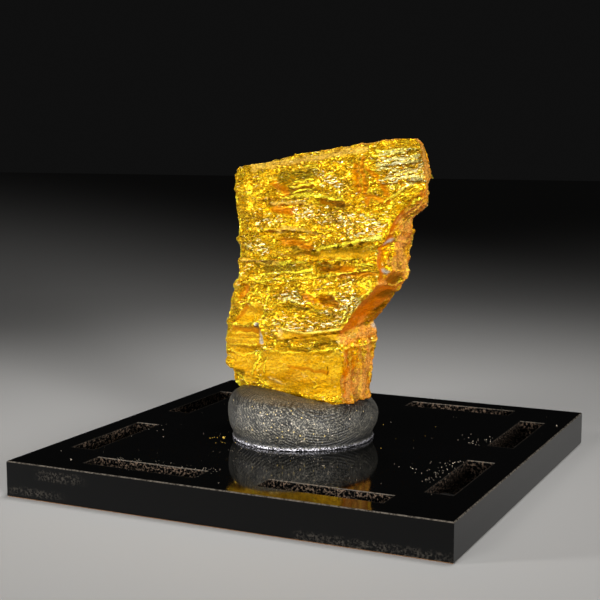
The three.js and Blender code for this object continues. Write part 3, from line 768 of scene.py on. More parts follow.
def smooth_profile(profile):
    """The profile with its stretches cut to an even spacing and its corners softened."""
    points = [Vector(profile[0])]
    for start, end in zip(profile, profile[1:]):
        start, end = Vector(start), Vector(end)
        steps = max(1, round((end - start).length / PROFILE_SPACING))
        points += [start.lerp(end, (i + 1) / steps) for i in range(steps)]
    for _ in range(PROFILE_SOFTENINGS):
        inner = [(points[i - 1] + 2 * points[i] + points[i + 1]) / 4 for i in range(1, len(points) - 1)]
        points = [points[0]] + inner + [points[-1]]
    return points


def press_putty(co):
    """Presses the turned lump out of round, with a low hump and a tilt to its top."""
    turn = math.atan2(co.y, co.x)
    high = smoothstep(2, 8, co.z)
    swell = 1 + 0.018 * high * math.sin(2 * turn + 0.6) + 0.012 * math.sin(3 * turn + 1.1)
    hump = 0.25 * high * max(0.0, math.cos(turn - HUMP_TOWARDS))
    return Vector((co.x * swell, co.y * swell, co.z + hump - 0.05 * high * co.x))


def shape_putty(settings):
    """The putty turned by its profile, pressed out of round and set on the base under the slab."""
    bm = bmesh.new()
    points = smooth_profile(putty_profile())
    verts = [bm.verts.new((p.x, 0.0, p.y)) for p in points]
    edges = [bm.edges.new(pair) for pair in zip(verts, verts[1:])]
    bmesh.ops.spin(
        bm, geom=verts + edges, cent=(0, 0, 0), axis=(0, 0, 1), angle=2 * math.pi,
        steps=settings.turns, use_merge=True, use_duplicate=False)
    bmesh.ops.remove_doubles(bm, verts=bm.verts, dist=MERGE_DISTANCE)
    bmesh.ops.recalc_face_normals(bm, faces=bm.faces)
    for vert in bm.verts:
        vert.co = press_putty(vert.co)
    bm.normal_update()
    moves = [vert.normal * putty_detail(vert.co) for vert in bm.verts]
    for vert, move in zip(bm.verts, moves):
        vert.co += move
    bmesh.ops.translate(bm, verts=bm.verts, vec=(*PUTTY_AT, BASE_TOP + PUTTY_LIFT))
    sink_under_crystal(bm)
    return bm


def putty_detail(co):
    """A softly uneven, handled surface, and a ragged lip."""
    uneven = 0.16 * noise.noise(co * 0.28) + 0.05 * noise.noise(co * 0.9)
    nubs = 0.5 * noise.noise(co * 2.4) + 0.5 * noise.noise(co * 5.0)
    return smoothstep(0.8, 2.2, co.z) * uneven + smoothstep(0.9, 0.5, co.z) * 0.30 * nubs


def lip_glitter(co):
    """Where the lip gets painted glitter highlights: in beads along its foot, strongest at the front."""
    beads = noise.noise(Vector((co.x * 2.6, co.y * 2.6, 2.0)))
    low = smoothstep(BASE_TOP + 0.55, BASE_TOP + 0.35, co.z + 0.3 * beads)
    turn = math.degrees(math.atan2(co.y - PUTTY_AT[1], co.x - PUTTY_AT[0]))
    front = smoothstep(*LIP_FRONT_LEFT, turn) * smoothstep(*LIP_FRONT_RIGHT, turn)
    return low * lerp(0.3, 1.0, front)


def cove_shade(co):
    """Where the putty curls under above its lip."""
    above_lip = smoothstep(BASE_TOP + 0.55, BASE_TOP + 0.8, co.z)
    return above_lip * smoothstep(BASE_TOP + 2.0, BASE_TOP + 1.0, co.z)


def sink_under_crystal(bm):
    """Presses the putty's top down under the crystal's foot."""
    into_slab = Matrix.Rotation(-SLAB_TURN, 4, "Z")
    left, right = LEFT_EDGE[0][1], RIGHT_FRONT_EDGE[0][1]
    for vert in bm.verts:
        at = into_slab @ vert.co
        in_front = at.y + FRONT_FACE + DENT_CLEARANCE
        inside = min(at.x - DENT_LEFT, DENT_RIGHT - at.x, in_front, DENT_BACK - at.y)
        if inside > 0:
            share = clamp((at.x - left) / (right - left))
            foot = lerp(FOOT_LEFT, FOOT_RIGHT, share) - 4 * share * (1 - share) * FOOT_SAG
            floor = min(vert.co.z, foot - DENT_CLEARANCE)
            vert.co.z = lerp(vert.co.z, floor, smoothstep(0.0, DENT_EDGE, inside))


# ---------------------------------------------------------------- materials


def add(tree, kind, settings=None, **inputs):
    """Adds a node. An input is a value or another node's output, and `_2` names the third input."""
    made = tree.nodes.new("ShaderNode" + kind)
    for key, value in (settings or {}).items():
        setattr(made, key, value)
    for key, value in inputs.items():
        socket = made.inputs[int(key[1:])] if key[0] == "_" else made.inputs[key.replace("_", " ")]
        if isinstance(value, bpy.types.NodeSocket):
            tree.links.new(value, socket)
        else:
            socket.default_value = value
    return made


def new_material(name):
    material = bpy.data.materials.new(name)
    material.use_nodes = True
    tree = material.node_tree
    tree.nodes.clear()
    surface = add(tree, "BsdfPrincipled")
    output = add(tree, "OutputMaterial")
    tree.links.new(surface.outputs[0], output.inputs["Surface"])
    return material, tree, surface


def rgba(colour):
    return (colour[0], colour[1], colour[2], 1.0)


def blend_colour(tree, share, first, second, mode="MIX"):
    mixed = add(tree, "Mix", {"data_type": "RGBA", "blend_type": mode}, _0=share, _6=first, _7=second)
    return mixed.outputs[2]


def maths(tree, operation, first, second=0.0, third=0.0, clamped=False):
    made = add(tree, "Math", {"operation": operation, "use_clamp": clamped}, _0=first, _1=second, _2=third)
    return made.outputs[0]


def plus(tree, start, value, weight, clamped=False):
    """A start value plus a weighted one."""
    return maths(tree, "MULTIPLY_ADD", value, weight, start, clamped)


def product(tree, first, *others):
    for other in others:
        first = maths(tree, "MULTIPLY", first, other)
    return first


def largest(tree, first, *others):
    for other in others:
        first = maths(tree, "MAXIMUM", first, other)
    return first


def towards(tree, value, goal, share):
    """A value moved a share of the way to a goal."""
    return plus(tree, value, maths(tree, "SUBTRACT", goal, value), share)


def remap(tree, value, low, high, to_low=0.0, to_high=1.0):
    """A value carried smoothly from one range to another; the second one's ends may be sockets."""
    made = add(tree, "MapRange", {"interpolation_type": "SMOOTHSTEP"},
               _0=value, _1=low, _2=high, _3=to_low, _4=to_high)
    return made.outputs[0]


def vector_maths(tree, operation, first, second):
    return add(tree, "VectorMath", {"operation": operation}, _0=first, _1=second).outputs[0]


def distance(tree, first, second):
    return add(tree, "VectorMath", {"operation": "DISTANCE"}, _0=first, _1=second).outputs["Value"]


def soft_noise(tree, where, cells, detail, roughness):
    return add(tree, "TexNoise", Vector=where, Scale=cells, Detail=detail, Roughness=roughness).outputs["Fac"]


def object_place(tree):
    return add(tree, "TexCoord").outputs["Object"]


def attribute(tree, name):
    return add(tree, "Attribute", {"attribute_name": name}).outputs["Fac"]


def finish_surface(tree, surface, colour, rough, bump=None):
    tree.links.new(colour, surface.inputs["Base Color"])
    tree.links.new(rough, surface.inputs["Roughness"])
    if bump:
        tree.links.new(bump.outputs[0], surface.inputs["Normal"])


# ---------------------------------------------------------------- crystal material

# Colours of the slab besides those in its settings. The warm stain and the olive are multiplied in; the olive
# is partly stain and partly painted shade in hollows and under bright edges.
BRUSHED_SHADE = (0.44, 0.18, 0.0, 1)
WARM_STAIN = (0.72, 0.48, 0.3, 1)
OLIVE_STAIN_AND_SHADE = (0.50, 0.48, 0.40, 1)
TORN_SHADE = (0.58, 0.15, 0.0, 1)
TORN_ORANGE = (0.84, 0.36, 0.005, 1)
RIM_GOLD_HIGHLIGHT = (1.0, 0.82, 0.04, 1)
RIM_GLINT_HIGHLIGHT = (1.0, 0.86, 0.26, 1)
RIM_TORN_HIGHLIGHT = (0.95, 0.50, 0.05, 1)
PALE_MATRIX = (0.52, 0.44, 0.36, 1)
PAINTED_GLINT = (1.0, 0.92, 0.50, 1)
GOLD_SHEEN = (1, 0.90, 0.0, 1)
GLINT_SHEEN = (1, 0.96, 0.27, 1)
# The brightness that dull surfaces tend to.
EVEN_SHADE = 0.95
# How many sheets the noise that stacks them runs through between 0 and 1.
SHEET_STACK = 20.0
ORPIMENT_IOR = 1.65
HALF = (0.5, 0.5, 0.5)
# How far the layers are warped along, through and up, in millimetres.
LAYER_WARP = (1.6, 1.0, 1.3)


def layer_coordinates(tree):
    """Millimetres along, through and up the slab's layers, gently warped."""
    turned = add(tree, "Mapping", Vector=object_place(tree))
    turned.inputs["Rotation"].default_value = (0, 0, -SLAB_TURN)
    turned.inputs["Scale"].default_value = (1000, 1000, 1000)
    lay = add(tree, "Mapping", Vector=turned.outputs[0])
    lay.inputs["Rotation"].default_value = (0, math.atan(RISE), 0)
    warp = add(tree, "TexNoise", Vector=lay.outputs[0], Scale=0.45, Detail=2.0, Roughness=0.5)
    centred = vector_maths(tree, "SUBTRACT", warp.outputs["Color"], HALF)
    warped = add(tree, "VectorMath", {"operation": "MULTIPLY_ADD"}, _0=centred, _1=LAYER_WARP,
                 _2=lay.outputs[0])
    return warped.outputs[0]


def clouds(tree, layers, cells, detail, roughness):
    """Soft noise with so many cells to the millimetre along, through and up the layers."""
    return soft_noise(tree, vector_maths(tree, "MULTIPLY", layers, cells), 1.0, detail, roughness)


def facets(tree, layers, cells):
    """Height, in cells, of a surface broken into small flat facets that tilt at random."""
    where = vector_maths(tree, "MULTIPLY", layers, cells)
    cell = add(tree, "TexVoronoi", Vector=where, Scale=1.0)
    local = vector_maths(tree, "SUBTRACT", where, cell.outputs["Position"])
    tilt = vector_maths(tree, "SUBTRACT", cell.outputs["Color"], HALF)
    return add(tree, "VectorMath", {"operation": "DOT_PRODUCT"}, _0=local, _1=tilt).outputs["Value"]


def sheets(tree, layers, thickness):
    """Thin torn sheets: a tone for each, a line where each one ends, and their height in millimetres."""
    relief = clouds(tree, layers, (0.09, 0.25, 0.42), 6.0, 0.62)
    count = product(tree, relief, SHEET_STACK)
    whole = maths(tree, "FLOOR", count)
    step = remap(tree, maths(tree, "FRACT", count), 0.70, 1.0)
    tone = add(tree, "TexWhiteNoise", {"noise_dimensions": "1D"}, W=whole).outputs["Value"]
    line = product(tree, step, 4.0, maths(tree, "SUBTRACT", 1.0, step))
    return tone, line, product(tree, maths(tree, "ADD", whole, step), thickness)


def veins(tree, layers, cells):
    """Thin winding edges of crumpled sheets: a painted highlight along each, the painted shade beside it, and
    a crease.
    """
    field = clouds(tree, layers, cells, 2.0, 0.5)
    away = maths(tree, "ABSOLUTE", maths(tree, "SUBTRACT", field, 0.5))
    beside = maths(tree, "ABSOLUTE", maths(tree, "SUBTRACT", field, 0.55))
    return remap(tree, away, 0.004, 0.024, 1.0, 0.0), remap(tree, beside, 0.008, 0.032, 1.0, 0.0), away


def slab_fields(tree, settings):
    """Everything that varies over the slab and that more than one part of its material reads."""
    layers = layer_coordinates(tree)
    fields = SimpleNamespace(**{name: attribute(tree, name) for name in MARKS + ("edge", "up", "relief")})
    fields.layers = layers
    fields.grain = clouds(tree, layers, (1.2, 2.0, 4.0), 3.0, 0.65)
    fields.streaks = clouds(tree, layers, (0.10, 0.4, 1.3), 5.0, 0.65)
    fields.patches = clouds(tree, layers, (0.14, 0.3, 0.40), 4.0, 0.6)
    fields.specks = clouds(tree, layers, (2.6, 2.6, 3.2), 2.0, 0.7)
    fields.broken = remap(tree, fields.edge, 0.40, 0.80)
    fields.calm = remap(tree, fields.smooth, 0.0, 0.5)
    lively = plus(tree, 1.0, fields.calm, -0.85)
    lively = plus(tree, lively, fields.orange, -0.9, clamped=True)
    fields.lively = lively
    fields.tone, fields.sheet_line, fields.sheet_height = sheets(tree, layers, settings.sheet / MM)
    wide_highlight, wide_shaded, fields.wide_crease = veins(tree, layers, (0.35, 0.8, 1.0))
    fine_highlight, fine_shaded, fields.fine_crease = veins(tree, layers, (0.9, 1.8, 2.8))
    # The veins' painted highlights and painted shade, left out where the face is calm or orange.
    fields.bright = product(tree, largest(tree, wide_highlight, fine_highlight), lively)
    fields.shaded = product(tree, largest(tree, wide_shaded, fine_shaded), lively)
    return fields


def face_colour(tree, settings, fields):
    """Cleavage faces: gold and umber sheets with lemon edges that are partly painted highlight, painted
    highlights and painted shade along the veins, calmer where they are brushed smooth.
    """
    value = plus(tree, product(tree, fields.grain, 0.55), fields.tone, 0.16)
    value = plus(tree, value, fields.streaks, 0.60)
    value = plus(tree, value, fields.olive, -0.08)
    # Lemon where the tone is high, and a painted highlight where each sheet ends.
    lemons = largest(tree, remap(tree, value, 0.70, 0.79, 0.0, 0.8), product(tree, fields.sheet_line, 0.5))
    brushed = remap(tree, fields.streaks, 0.42, 0.56)
    warm = largest(tree, maths(tree, "MULTIPLY", fields.orange, 1.2, clamped=True),
                   remap(tree, fields.patches, 0.54, 0.70, 0.0, 0.6))
    colour = blend_colour(tree, remap(tree, value, 0.51, 0.63), rgba(settings.umber), rgba(settings.gold))
    for share, other in (
        (product(tree, lemons, fields.lively), rgba(settings.lemon)),
        (remap(tree, fields.smooth, 0.0, 0.5, 0.0, 0.85),
         blend_colour(tree, brushed, BRUSHED_SHADE, rgba(settings.amber))),
        # Painted shade beside the veins in umber, then painted highlights along them in lemon.
        (product(tree, fields.shaded, 0.65), rgba(settings.umber)),
        (product(tree, fields.bright, 0.8), rgba(settings.lemon)),
    ):
        colour = blend_colour(tree, share, colour, other)
    return blend_colour(tree, warm, colour, WARM_STAIN, "MULTIPLY")


def torn_colour(tree, settings, fields):
    """Broken sides: orange sheet edges with flesh patches, salmon grains, rusty hollows, and rust as painted
    shade where they face down.
    """
    stripes = clouds(tree, fields.layers, (1.5, 1.5, 0.16), 3.0, 0.6)
    deep = product(tree, fields.orange, remap(tree, fields.streaks, 0.35, 0.60, 1.0, 0.6))
    colour = blend_colour(tree, remap(tree, stripes, 0.45, 0.55), TORN_SHADE, TORN_ORANGE)
    for share, other in (
        (remap(tree, fields.patches, 0.46, 0.54, 0.0, 0.8), settings.flesh),
        (remap(tree, fields.grain, 0.54, 0.62, 0.0, 0.8), settings.salmon),
        (remap(tree, fields.grain, 0.44, 0.36, 0.0, 0.7), settings.rust),
        (deep, settings.rust),
        # Painted shade: rust where the broken surface faces down.
        (remap(tree, fields.up, -0.6, 0.1, 0.6, 0.0), settings.rust),
    ):
        colour = blend_colour(tree, share, colour, rgba(other))
    return colour


def olive_share(tree, fields):
    """Olive, partly stain and partly painted shade in hollows and under bright edges, weaker where the
    surface glints.
    """
    return maths(tree, "MULTIPLY", fields.olive, plus(tree, 1.3, fields.glint, -0.8), clamped=True)


def salmon_share(tree, fields):
    """Peach layer edges, broken up by the grain."""
    grainy = remap(tree, fields.grain, 0.38, 0.58, 0.3, 1.1)
    return maths(tree, "MULTIPLY", fields.salmon, grainy, clamped=True)


def rim_highlight_share(tree, fields):
    """Painted highlights along the drawn edges, softer on smooth and broken surfaces."""
    drawn = remap(tree, fields.line, 0.30, 0.70, 0.0, 0.9)
    drawn = product(tree, drawn, plus(tree, 1.0, fields.smooth, -0.8, clamped=True))
    return product(tree, drawn, plus(tree, 1.0, fields.broken, -0.45))


def painted_glint_share(tree, fields):
    """Painted glints: short bright dashes, more of them where the surface glints, and none on broken sides.
    """
    dashes = clouds(tree, fields.layers, (0.8, 1.5, 3.4), 2.0, 0.6)
    start = plus(tree, 0.67, fields.glint, -0.11)
    sparks = remap(tree, maths(tree, "SUBTRACT", dashes, start), 0.0, 0.04)
    return product(tree, sparks, fields.lively, maths(tree, "SUBTRACT", 1.0, fields.broken))


def slab_shade(tree, fields):
    """Darker specks, and painted shade that darkens the hollows and lightens the high places, evened out on
    dull surfaces.
    """
    darkest = plus(tree, 0.42, fields.glint, -0.14)
    shade = remap(tree, fields.specks, 0.36, 0.60, darkest, 1.12)
    even = largest(tree, product(tree, fields.broken, 0.35), product(tree, fields.smooth, 0.4))
    shade = towards(tree, shade, EVEN_SHADE, even)
    # Painted shade from the relief: low places darker, high places lighter, more so on broken sides.
    deepest = plus(tree, 0.76, fields.broken, -0.22)
    shade = product(tree, shade, remap(tree, fields.relief, -0.35, 0.25, deepest, 1.10))
    shade = towards(tree, shade, EVEN_SHADE, product(tree, fields.orange, 0.6))
    return add(tree, "CombineColor", _0=shade, _1=shade, _2=shade).outputs[0]


def crystal_colour(tree, settings, fields):
    """Faces and broken sides, then their stains with the olive's painted shade, painted edge highlights,
    darker specks with painted shade in the hollows, and painted glints as sparks.
    """
    broken = fields.broken
    face, torn = face_colour(tree, settings, fields), torn_colour(tree, settings, fields)
    colour = blend_colour(tree, broken, face, torn)
    colour = blend_colour(tree, olive_share(tree, fields), colour, OLIVE_STAIN_AND_SHADE, "MULTIPLY")
    sideways = product(tree, broken, remap(tree, fields.up, 0.3, 0.7, 1.0, 0.0))
    peach = blend_colour(tree, sideways, rgba(settings.salmon), rgba(settings.flesh))
    colour = blend_colour(tree, salmon_share(tree, fields), colour, peach)
    # Painted highlight colour of the drawn edges: gold, paler where the surface glints, orange on broken
    # sides.
    rim = blend_colour(tree, fields.glint, RIM_GOLD_HIGHLIGHT, RIM_GLINT_HIGHLIGHT)
    rim = blend_colour(tree, broken, rim, RIM_TORN_HIGHLIGHT)
    colour = blend_colour(tree, rim_highlight_share(tree, fields), colour, rim)
    colour = blend_colour(tree, fields.pale, colour, PALE_MATRIX)
    colour = blend_colour(tree, 1.0, colour, slab_shade(tree, fields), "MULTIPLY")
    return blend_colour(tree, painted_glint_share(tree, fields), colour, PAINTED_GLINT)


def crystal_relief(tree, fields):
    """Height in millimetres of the sheets, tilted facets, creases and grains."""
    glint, broken = fields.glint, fields.broken
    height = product(tree, facets(tree, fields.layers, (1.3, 2.6, 6.0)), plus(tree, 0.17, glint, 0.09))
    height = plus(tree, height, fields.wide_crease, plus(tree, -0.3, glint, -0.3))
    height = plus(tree, height, fields.fine_crease, plus(tree, -0.10, glint, -0.15))
    height = maths(tree, "ADD", fields.sheet_height, product(tree, height, fields.lively))
    return plus(tree, height, fields.specks, plus(tree, 0.01, broken, 0.24))


def crystal_material(settings):
    material, tree, surface = new_material("orpiment")
    fields = slab_fields(tree, settings)
    glint = fields.glint
    dull = largest(tree, fields.broken, fields.salmon, fields.calm)
    rough = plus(tree, product(tree, fields.grain, 0.36), glint, -0.12)
    rough = plus(tree, rough, largest(tree, fields.orange, fields.olive), 0.25)
    rough = plus(tree, rough, dull, 0.35, clamped=True)
    bump = add(tree, "Bump", Strength=1.0, Distance=MM, Height=crystal_relief(tree, fields))
    finish_surface(tree, surface, crystal_colour(tree, settings, fields), rough, bump)
    metal = plus(tree, plus(tree, 0.34, glint, 0.12), dull, -0.40, clamped=True)
    tree.links.new(metal, surface.inputs["Metallic"])
    tint = blend_colour(tree, remap(tree, glint, 0.2, 0.8), GOLD_SHEEN, GLINT_SHEEN)
    tree.links.new(tint, surface.inputs["Specular Tint"])
    surface.inputs["IOR"].default_value = ORPIMENT_IOR
    return material


# ---------------------------------------------------------------- putty material

PUTTY_WORN = (0.040, 0.038, 0.033, 1)
PUTTY_GRIT = (0.27, 0.245, 0.19, 1)
PUTTY_GROOVE_SHADE = (0.006, 0.006, 0.006, 1)
COVE_SHADE = (0.008, 0.008, 0.008, 1)
STUCK_GOLD = (0.75, 0.55, 0.16, 1)
STUCK_STONE = (0.62, 0.52, 0.44, 1)
LIP_DARK = (0.03, 0.029, 0.032, 1)
LIP_PAINTED_GLITTER = (0.92, 0.88, 0.95, 1)


def stick_dust(tree, settings, where, grit, colour):
    """Grit and golden dust stuck to the putty, most of it round one place."""
    away = distance(tree, where, settings.dust_middle)
    cells = add(tree, "TexVoronoi", Vector=where, Scale=2100.0)
    chance, tint, _ = add(tree, "SeparateColor", _0=cells.outputs["Color"]).outputs
    lucky = maths(tree, "GREATER_THAN", chance, remap(tree, away, 0.002, 0.011, 0.72, 0.97))
    speck = product(tree, remap(tree, cells.outputs["Distance"], 0.16, 0.34, 1.0, 0.0), lucky)
    gritty = product(tree, remap(tree, grit, 0.48, 0.62), remap(tree, away, 0.005, 0.014, 1.0, 0.35))
    colour = blend_colour(tree, gritty, colour, PUTTY_GRIT)
    return blend_colour(tree, speck, colour, blend_colour(tree, tint, STUCK_GOLD, STUCK_STONE))


def finger_ridges(tree, settings, where):
    """Wavering rings left by a finger, from -1 to 1, worn away in places."""
    waver = product(tree, add(tree, "TexNoise", Vector=where, Scale=200.0, Detail=1.0).outputs["Fac"], 4.0)
    reach = distance(tree, where, settings.ridge_centre)
    phase = plus(tree, waver, reach, 2 * math.pi / settings.ridge_pitch)
    worn = add(tree, "TexNoise", Vector=where, Scale=420.0, Detail=3.0).outputs["Fac"]
    return product(tree, maths(tree, "SINE", phase), remap(tree, worn, 0.40, 0.55))


def putty_material(settings):
    material, tree, surface = new_material("mineral_tack")
    where = object_place(tree)
    cloud = soft_noise(tree, where, 350.0, 4.0, 0.6)
    grit = soft_noise(tree, where, 3600.0, 2.0, 0.7)
    lip, cove = attribute(tree, "lip"), attribute(tree, "cove")
    ridges = finger_ridges(tree, settings, where)
    colour = blend_colour(tree, remap(tree, cloud, 0.35, 0.7), rgba(settings.colour), PUTTY_WORN)
    colour = stick_dust(tree, settings, where, grit, colour)
    for share, other in (
        (product(tree, cove, 0.85), COVE_SHADE),
        (remap(tree, lip, 0.0, 0.3), LIP_DARK),
        # Painted glitter highlights in beads on the lip.
        (product(tree, lip, remap(tree, grit, 0.46, 0.53)), LIP_PAINTED_GLITTER),
        # Painted shade in the grooves between the finger ridges.
        (remap(tree, ridges, -0.2, -0.8, 0.0, 0.7), PUTTY_GROOVE_SHADE),
    ):
        colour = blend_colour(tree, share, colour, other)
    rough = plus(tree, remap(tree, cloud, 0.3, 0.7, 0.36, 0.52), lip, -0.20)
    height = plus(tree, ridges, grit, 3.0)
    bump = add(tree, "Bump", Strength=1.0, Distance=settings.ridge_height, Height=height)
    finish_surface(tree, surface, colour, rough, bump)
    surface.inputs["Specular IOR Level"].default_value = 0.35
    return material


# ---------------------------------------------------------------- acrylic material

CRUMB_BROWN = (0.16, 0.10, 0.065, 1)
COPPER_GLOW = (0.30, 0.13, 0.04, 1)
ACRYLIC_IOR = 1.49


def slot_distance(tree, where, slot):
    """Millimetres outside the nearest of the slots that mirror each other, negative inside."""
    middle, half = slot
    gone = add(tree, "VectorMath", {"operation": "ABSOLUTE"}, _0=where).outputs[0]
    gone = vector_maths(tree, "SUBTRACT", gone, middle)
    gone = add(tree, "VectorMath", {"operation": "ABSOLUTE"}, _0=gone).outputs[0]
    parts = add(tree, "SeparateXYZ", _0=vector_maths(tree, "SUBTRACT", gone, half))
    return largest(tree, parts.outputs[0], parts.outputs[1])


def back_of_slot(tree, y, slot):
    """1 at the back wall of a slot, in the front and the back half of the base alike."""
    (_, middle, _), (_, half, _) = slot
    gone = maths(tree, "SUBTRACT", maths(tree, "ABSOLUTE", y), middle)
    behind = product(tree, gone, maths(tree, "SIGN", y))
    return remap(tree, behind, half - 0.4, half - 0.1)


def slot_marks(tree, where, y, z, fine):
    """Lips of the slots, a little worn all round and with a painted highlight that is brightest at the back,
    and the crumbs that have settled in them, shown more on the back walls as painted light.
    """
    lips, back_walls = 0.0, 0.0
    slots = (SLOT_ALONG, SLOT_ACROSS)
    outside = [slot_distance(tree, where, slot) for slot in slots]
    for slot, gone in zip(slots, outside):
        off_wall = maths(tree, "ABSOLUTE", gone)
        back = back_of_slot(tree, y, slot)
        # Painted highlight on the slots' lips over a little wear, strongest on the back lip.
        rim = product(tree, remap(tree, off_wall, 0.18, 0.08), plus(tree, 0.12, back, 0.5))
        lips = largest(tree, lips, rim)
        back_walls = largest(tree, back_walls, product(tree, back, remap(tree, off_wall, 0.3, 0.1)))
    lips = product(tree, lips, remap(tree, z, BASE_TOP - 0.2, BASE_TOP - 0.05),
                   remap(tree, fine, 0.35, 0.55, 0.4, 1.0))
    inside = remap(tree, maths(tree, "MINIMUM", *outside), 0.10, 0.0)
    crumbs = product(tree, inside, remap(tree, fine, 0.50, 0.66))
    return lips, product(tree, crumbs, plus(tree, 0.22, back_walls, 0.20))


def front_scuffs(tree, x, z, on_front, fine):
    """Scuffed stretches of the base's front."""
    scuffs = 0.0
    for left, right, low, high in SCUFFS:
        band = product(tree, remap(tree, x, left - 1, left + 1), remap(tree, x, right + 2, right - 3),
                       remap(tree, z, high + 0.4, high - 0.5), remap(tree, z, low - 0.3, low + 0.2))
        scuffs = largest(tree, scuffs, band)
    return product(tree, scuffs, on_front, remap(tree, fine, 0.44, 0.70, 0.0, 0.16))


def acrylic_material(settings):
    """Polished black sheet: scuffed rims and corners with a painted highlight, painted highlights on the
    slots' lips, a painted copper glow on the front's lower rim, and dust that has settled in the slots.
    """
    material, tree, surface = new_material("black_acrylic")
    where = add(tree, "VectorMath", {"operation": "SCALE"}, _0=object_place(tree), Scale=1 / MM).outputs[0]
    x, y, z = add(tree, "SeparateXYZ", _0=where).outputs
    flat = add(tree, "VectorMath", {"operation": "ABSOLUTE"}, _0=where).outputs[0]
    wide, deep, _ = add(tree, "SeparateXYZ", _0=flat).outputs
    smudge = soft_noise(tree, where, 0.06, 4.0, 0.6)
    fine = soft_noise(tree, where, 2.2, 3.0, 0.7)
    on_front = maths(tree, "LESS_THAN", y, FRONT_SIDE)
    lips, crumbs = slot_marks(tree, where, y, z, fine)
    outermost = largest(tree, wide, deep)
    upper_rim = maths(tree, "GREATER_THAN", maths(tree, "ADD", outermost, z), RIM_ABOVE)
    lower_rim = maths(tree, "GREATER_THAN", maths(tree, "SUBTRACT", outermost, z), RIM_BELOW)
    # Broken top and bottom edges, paler as wear and as a painted highlight.
    rims = product(tree, largest(tree, upper_rim, lower_rim), remap(tree, fine, 0.35, 0.6, 0.1, 0.5))
    scuffs = front_scuffs(tree, x, z, on_front, fine)
    pale = largest(tree, largest(tree, crumbs, lips), largest(tree, rims, scuffs))
    # Painted copper glow along the front's lower rim.
    copper = product(tree, lower_rim, on_front, 0.6)
    colour = blend_colour(tree, product(tree, pale, 0.5), rgba(settings.colour), rgba(settings.dust))
    colour = blend_colour(tree, product(tree, crumbs, 1.5), colour, CRUMB_BROWN)
    colour = blend_colour(tree, copper, colour, COPPER_GLOW)
    rough = plus(tree, remap(tree, smudge, 0.35, 0.75, 0.03, 0.09), pale, 0.5, clamped=True)
    finish_surface(tree, surface, colour, rough)
    surface.inputs["IOR"].default_value = ACRYLIC_IOR
    surface.inputs["Specular IOR Level"].default_value = 0.16
    return material


# ---------------------------------------------------------------- plain materials

PALE_GRAIN = (0.50, 0.42, 0.32)
GOLD_GRAIN = (0.75, 0.48, 0.06)
GRAIN_SHADE = 0.35


def dust_material(name, colour):
    material, tree, surface = new_material(name)
    mottle = add(tree, "TexNoise", Vector=object_place(tree), Scale=9000.0, Detail=2.0).outputs["Fac"]
    dark = [GRAIN_SHADE * part for part in colour]
    mottled = blend_colour(tree, remap(tree, mottle, 0.3, 0.6), rgba(dark), rgba(colour))
    tree.links.new(mottled, surface.inputs["Base Color"])
    surface.inputs["Roughness"].default_value = 0.6
    return material


def plain_material(name, colour, roughness):
    material, _, surface = new_material(name)
    surface.inputs["Base Color"].default_value = rgba(colour)
    surface.inputs["Roughness"].default_value = roughness
    return material


# ---------------------------------------------------------------- operators


def place(piece, material, node):
    """Puts a finished piece in the place of a CAD node."""
    piece.data.materials.append(material)
    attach(piece, BODY)
    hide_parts(node)


class SPECIMEN_OT_crystal(bpy.types.Operator):
    """Builds the orpiment slab with its layers, ledges and broken sides"""

    bl_idname = "specimen.crystal"
    bl_label = "Crystal"

    def execute(self, context):
        settings = context.scene.specimen_crystal
        bm, marks = shape_crystal(settings)
        bmesh.ops.transform(
            bm, matrix=Matrix.Rotation(SLAB_TURN, 4, "Z") @ Matrix.Scale(MM, 4), verts=bm.verts)
        piece = finish_mesh(bm, "orpiment_slab")
        for name in marks[0]:
            store(piece.data, name, [corner[name] for corner in marks])
        piece.data.shade_smooth()
        place(piece, crystal_material(settings), "orpiment_crystal")
        return {"FINISHED"}


class SPECIMEN_OT_putty(bpy.types.Operator):
    """Builds the pressed lump of mineral tack"""

    bl_idname = "specimen.putty"
    bl_label = "Putty"

    def execute(self, context):
        settings = context.scene.specimen_putty
        bm = shape_putty(settings)
        lip = [lip_glitter(vert.co) for vert in bm.verts]
        cove = [cove_shade(vert.co) for vert in bm.verts]
        bmesh.ops.scale(bm, vec=(MM, MM, MM), verts=bm.verts)
        piece = finish_mesh(bm, "putty_lump")
        store(piece.data, "lip", lip)
        store(piece.data, "cove", cove)
        piece.data.shade_smooth()
        place(piece, putty_material(settings), "mounting_putty")
        return {"FINISHED"}


class SPECIMEN_OT_base(bpy.types.Operator):
    """Gives the display base its black acrylic"""

    bl_idname = "specimen.base"
    bl_label = "Display base"

    def execute(self, context):
        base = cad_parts["display_base"]
        acrylic = acrylic_material(context.scene.specimen_base)
        for slot in base.material_slots:
            slot.material = acrylic
        return {"FINISHED"}


def scatter(bm, zones, size, chance):
    """Small stony grains on the base's top, clear of its slots and of the putty."""
    for (x, y), (half_x, half_y), count, scale in zones:
        for _ in range(count):
            at = Vector((x + chance.uniform(-half_x, half_x), y + chance.uniform(-half_y, half_y), BASE_TOP))
            radius = size * scale * chance.uniform(0.6, 1.4)
            turn = Matrix.Rotation(chance.uniform(0, math.pi), 4, (chance.random(), chance.random(), 0.5))
            if over_slot(at) or on_putty(at) or max(abs(at.x), abs(at.y)) > BASE_HALF - RIM_CLEARANCE:
                continue
            stretch = Matrix.Diagonal((chance.uniform(0.7, 1.5), 1, chance.uniform(0.6, 1), 1))
            at.z += 0.5 * radius
            bmesh.ops.create_icosphere(
                bm, subdivisions=1, radius=radius, matrix=Matrix.Translation(at) @ turn @ stretch)


def over_slot(at):
    for (x, y, _), (half_x, half_y, _) in (SLOT_ALONG, SLOT_ACROSS):
        if abs(abs(at.x) - x) < half_x + SLOT_CLEARANCE and abs(abs(at.y) - y) < half_y + SLOT_CLEARANCE:
            return True
    return False


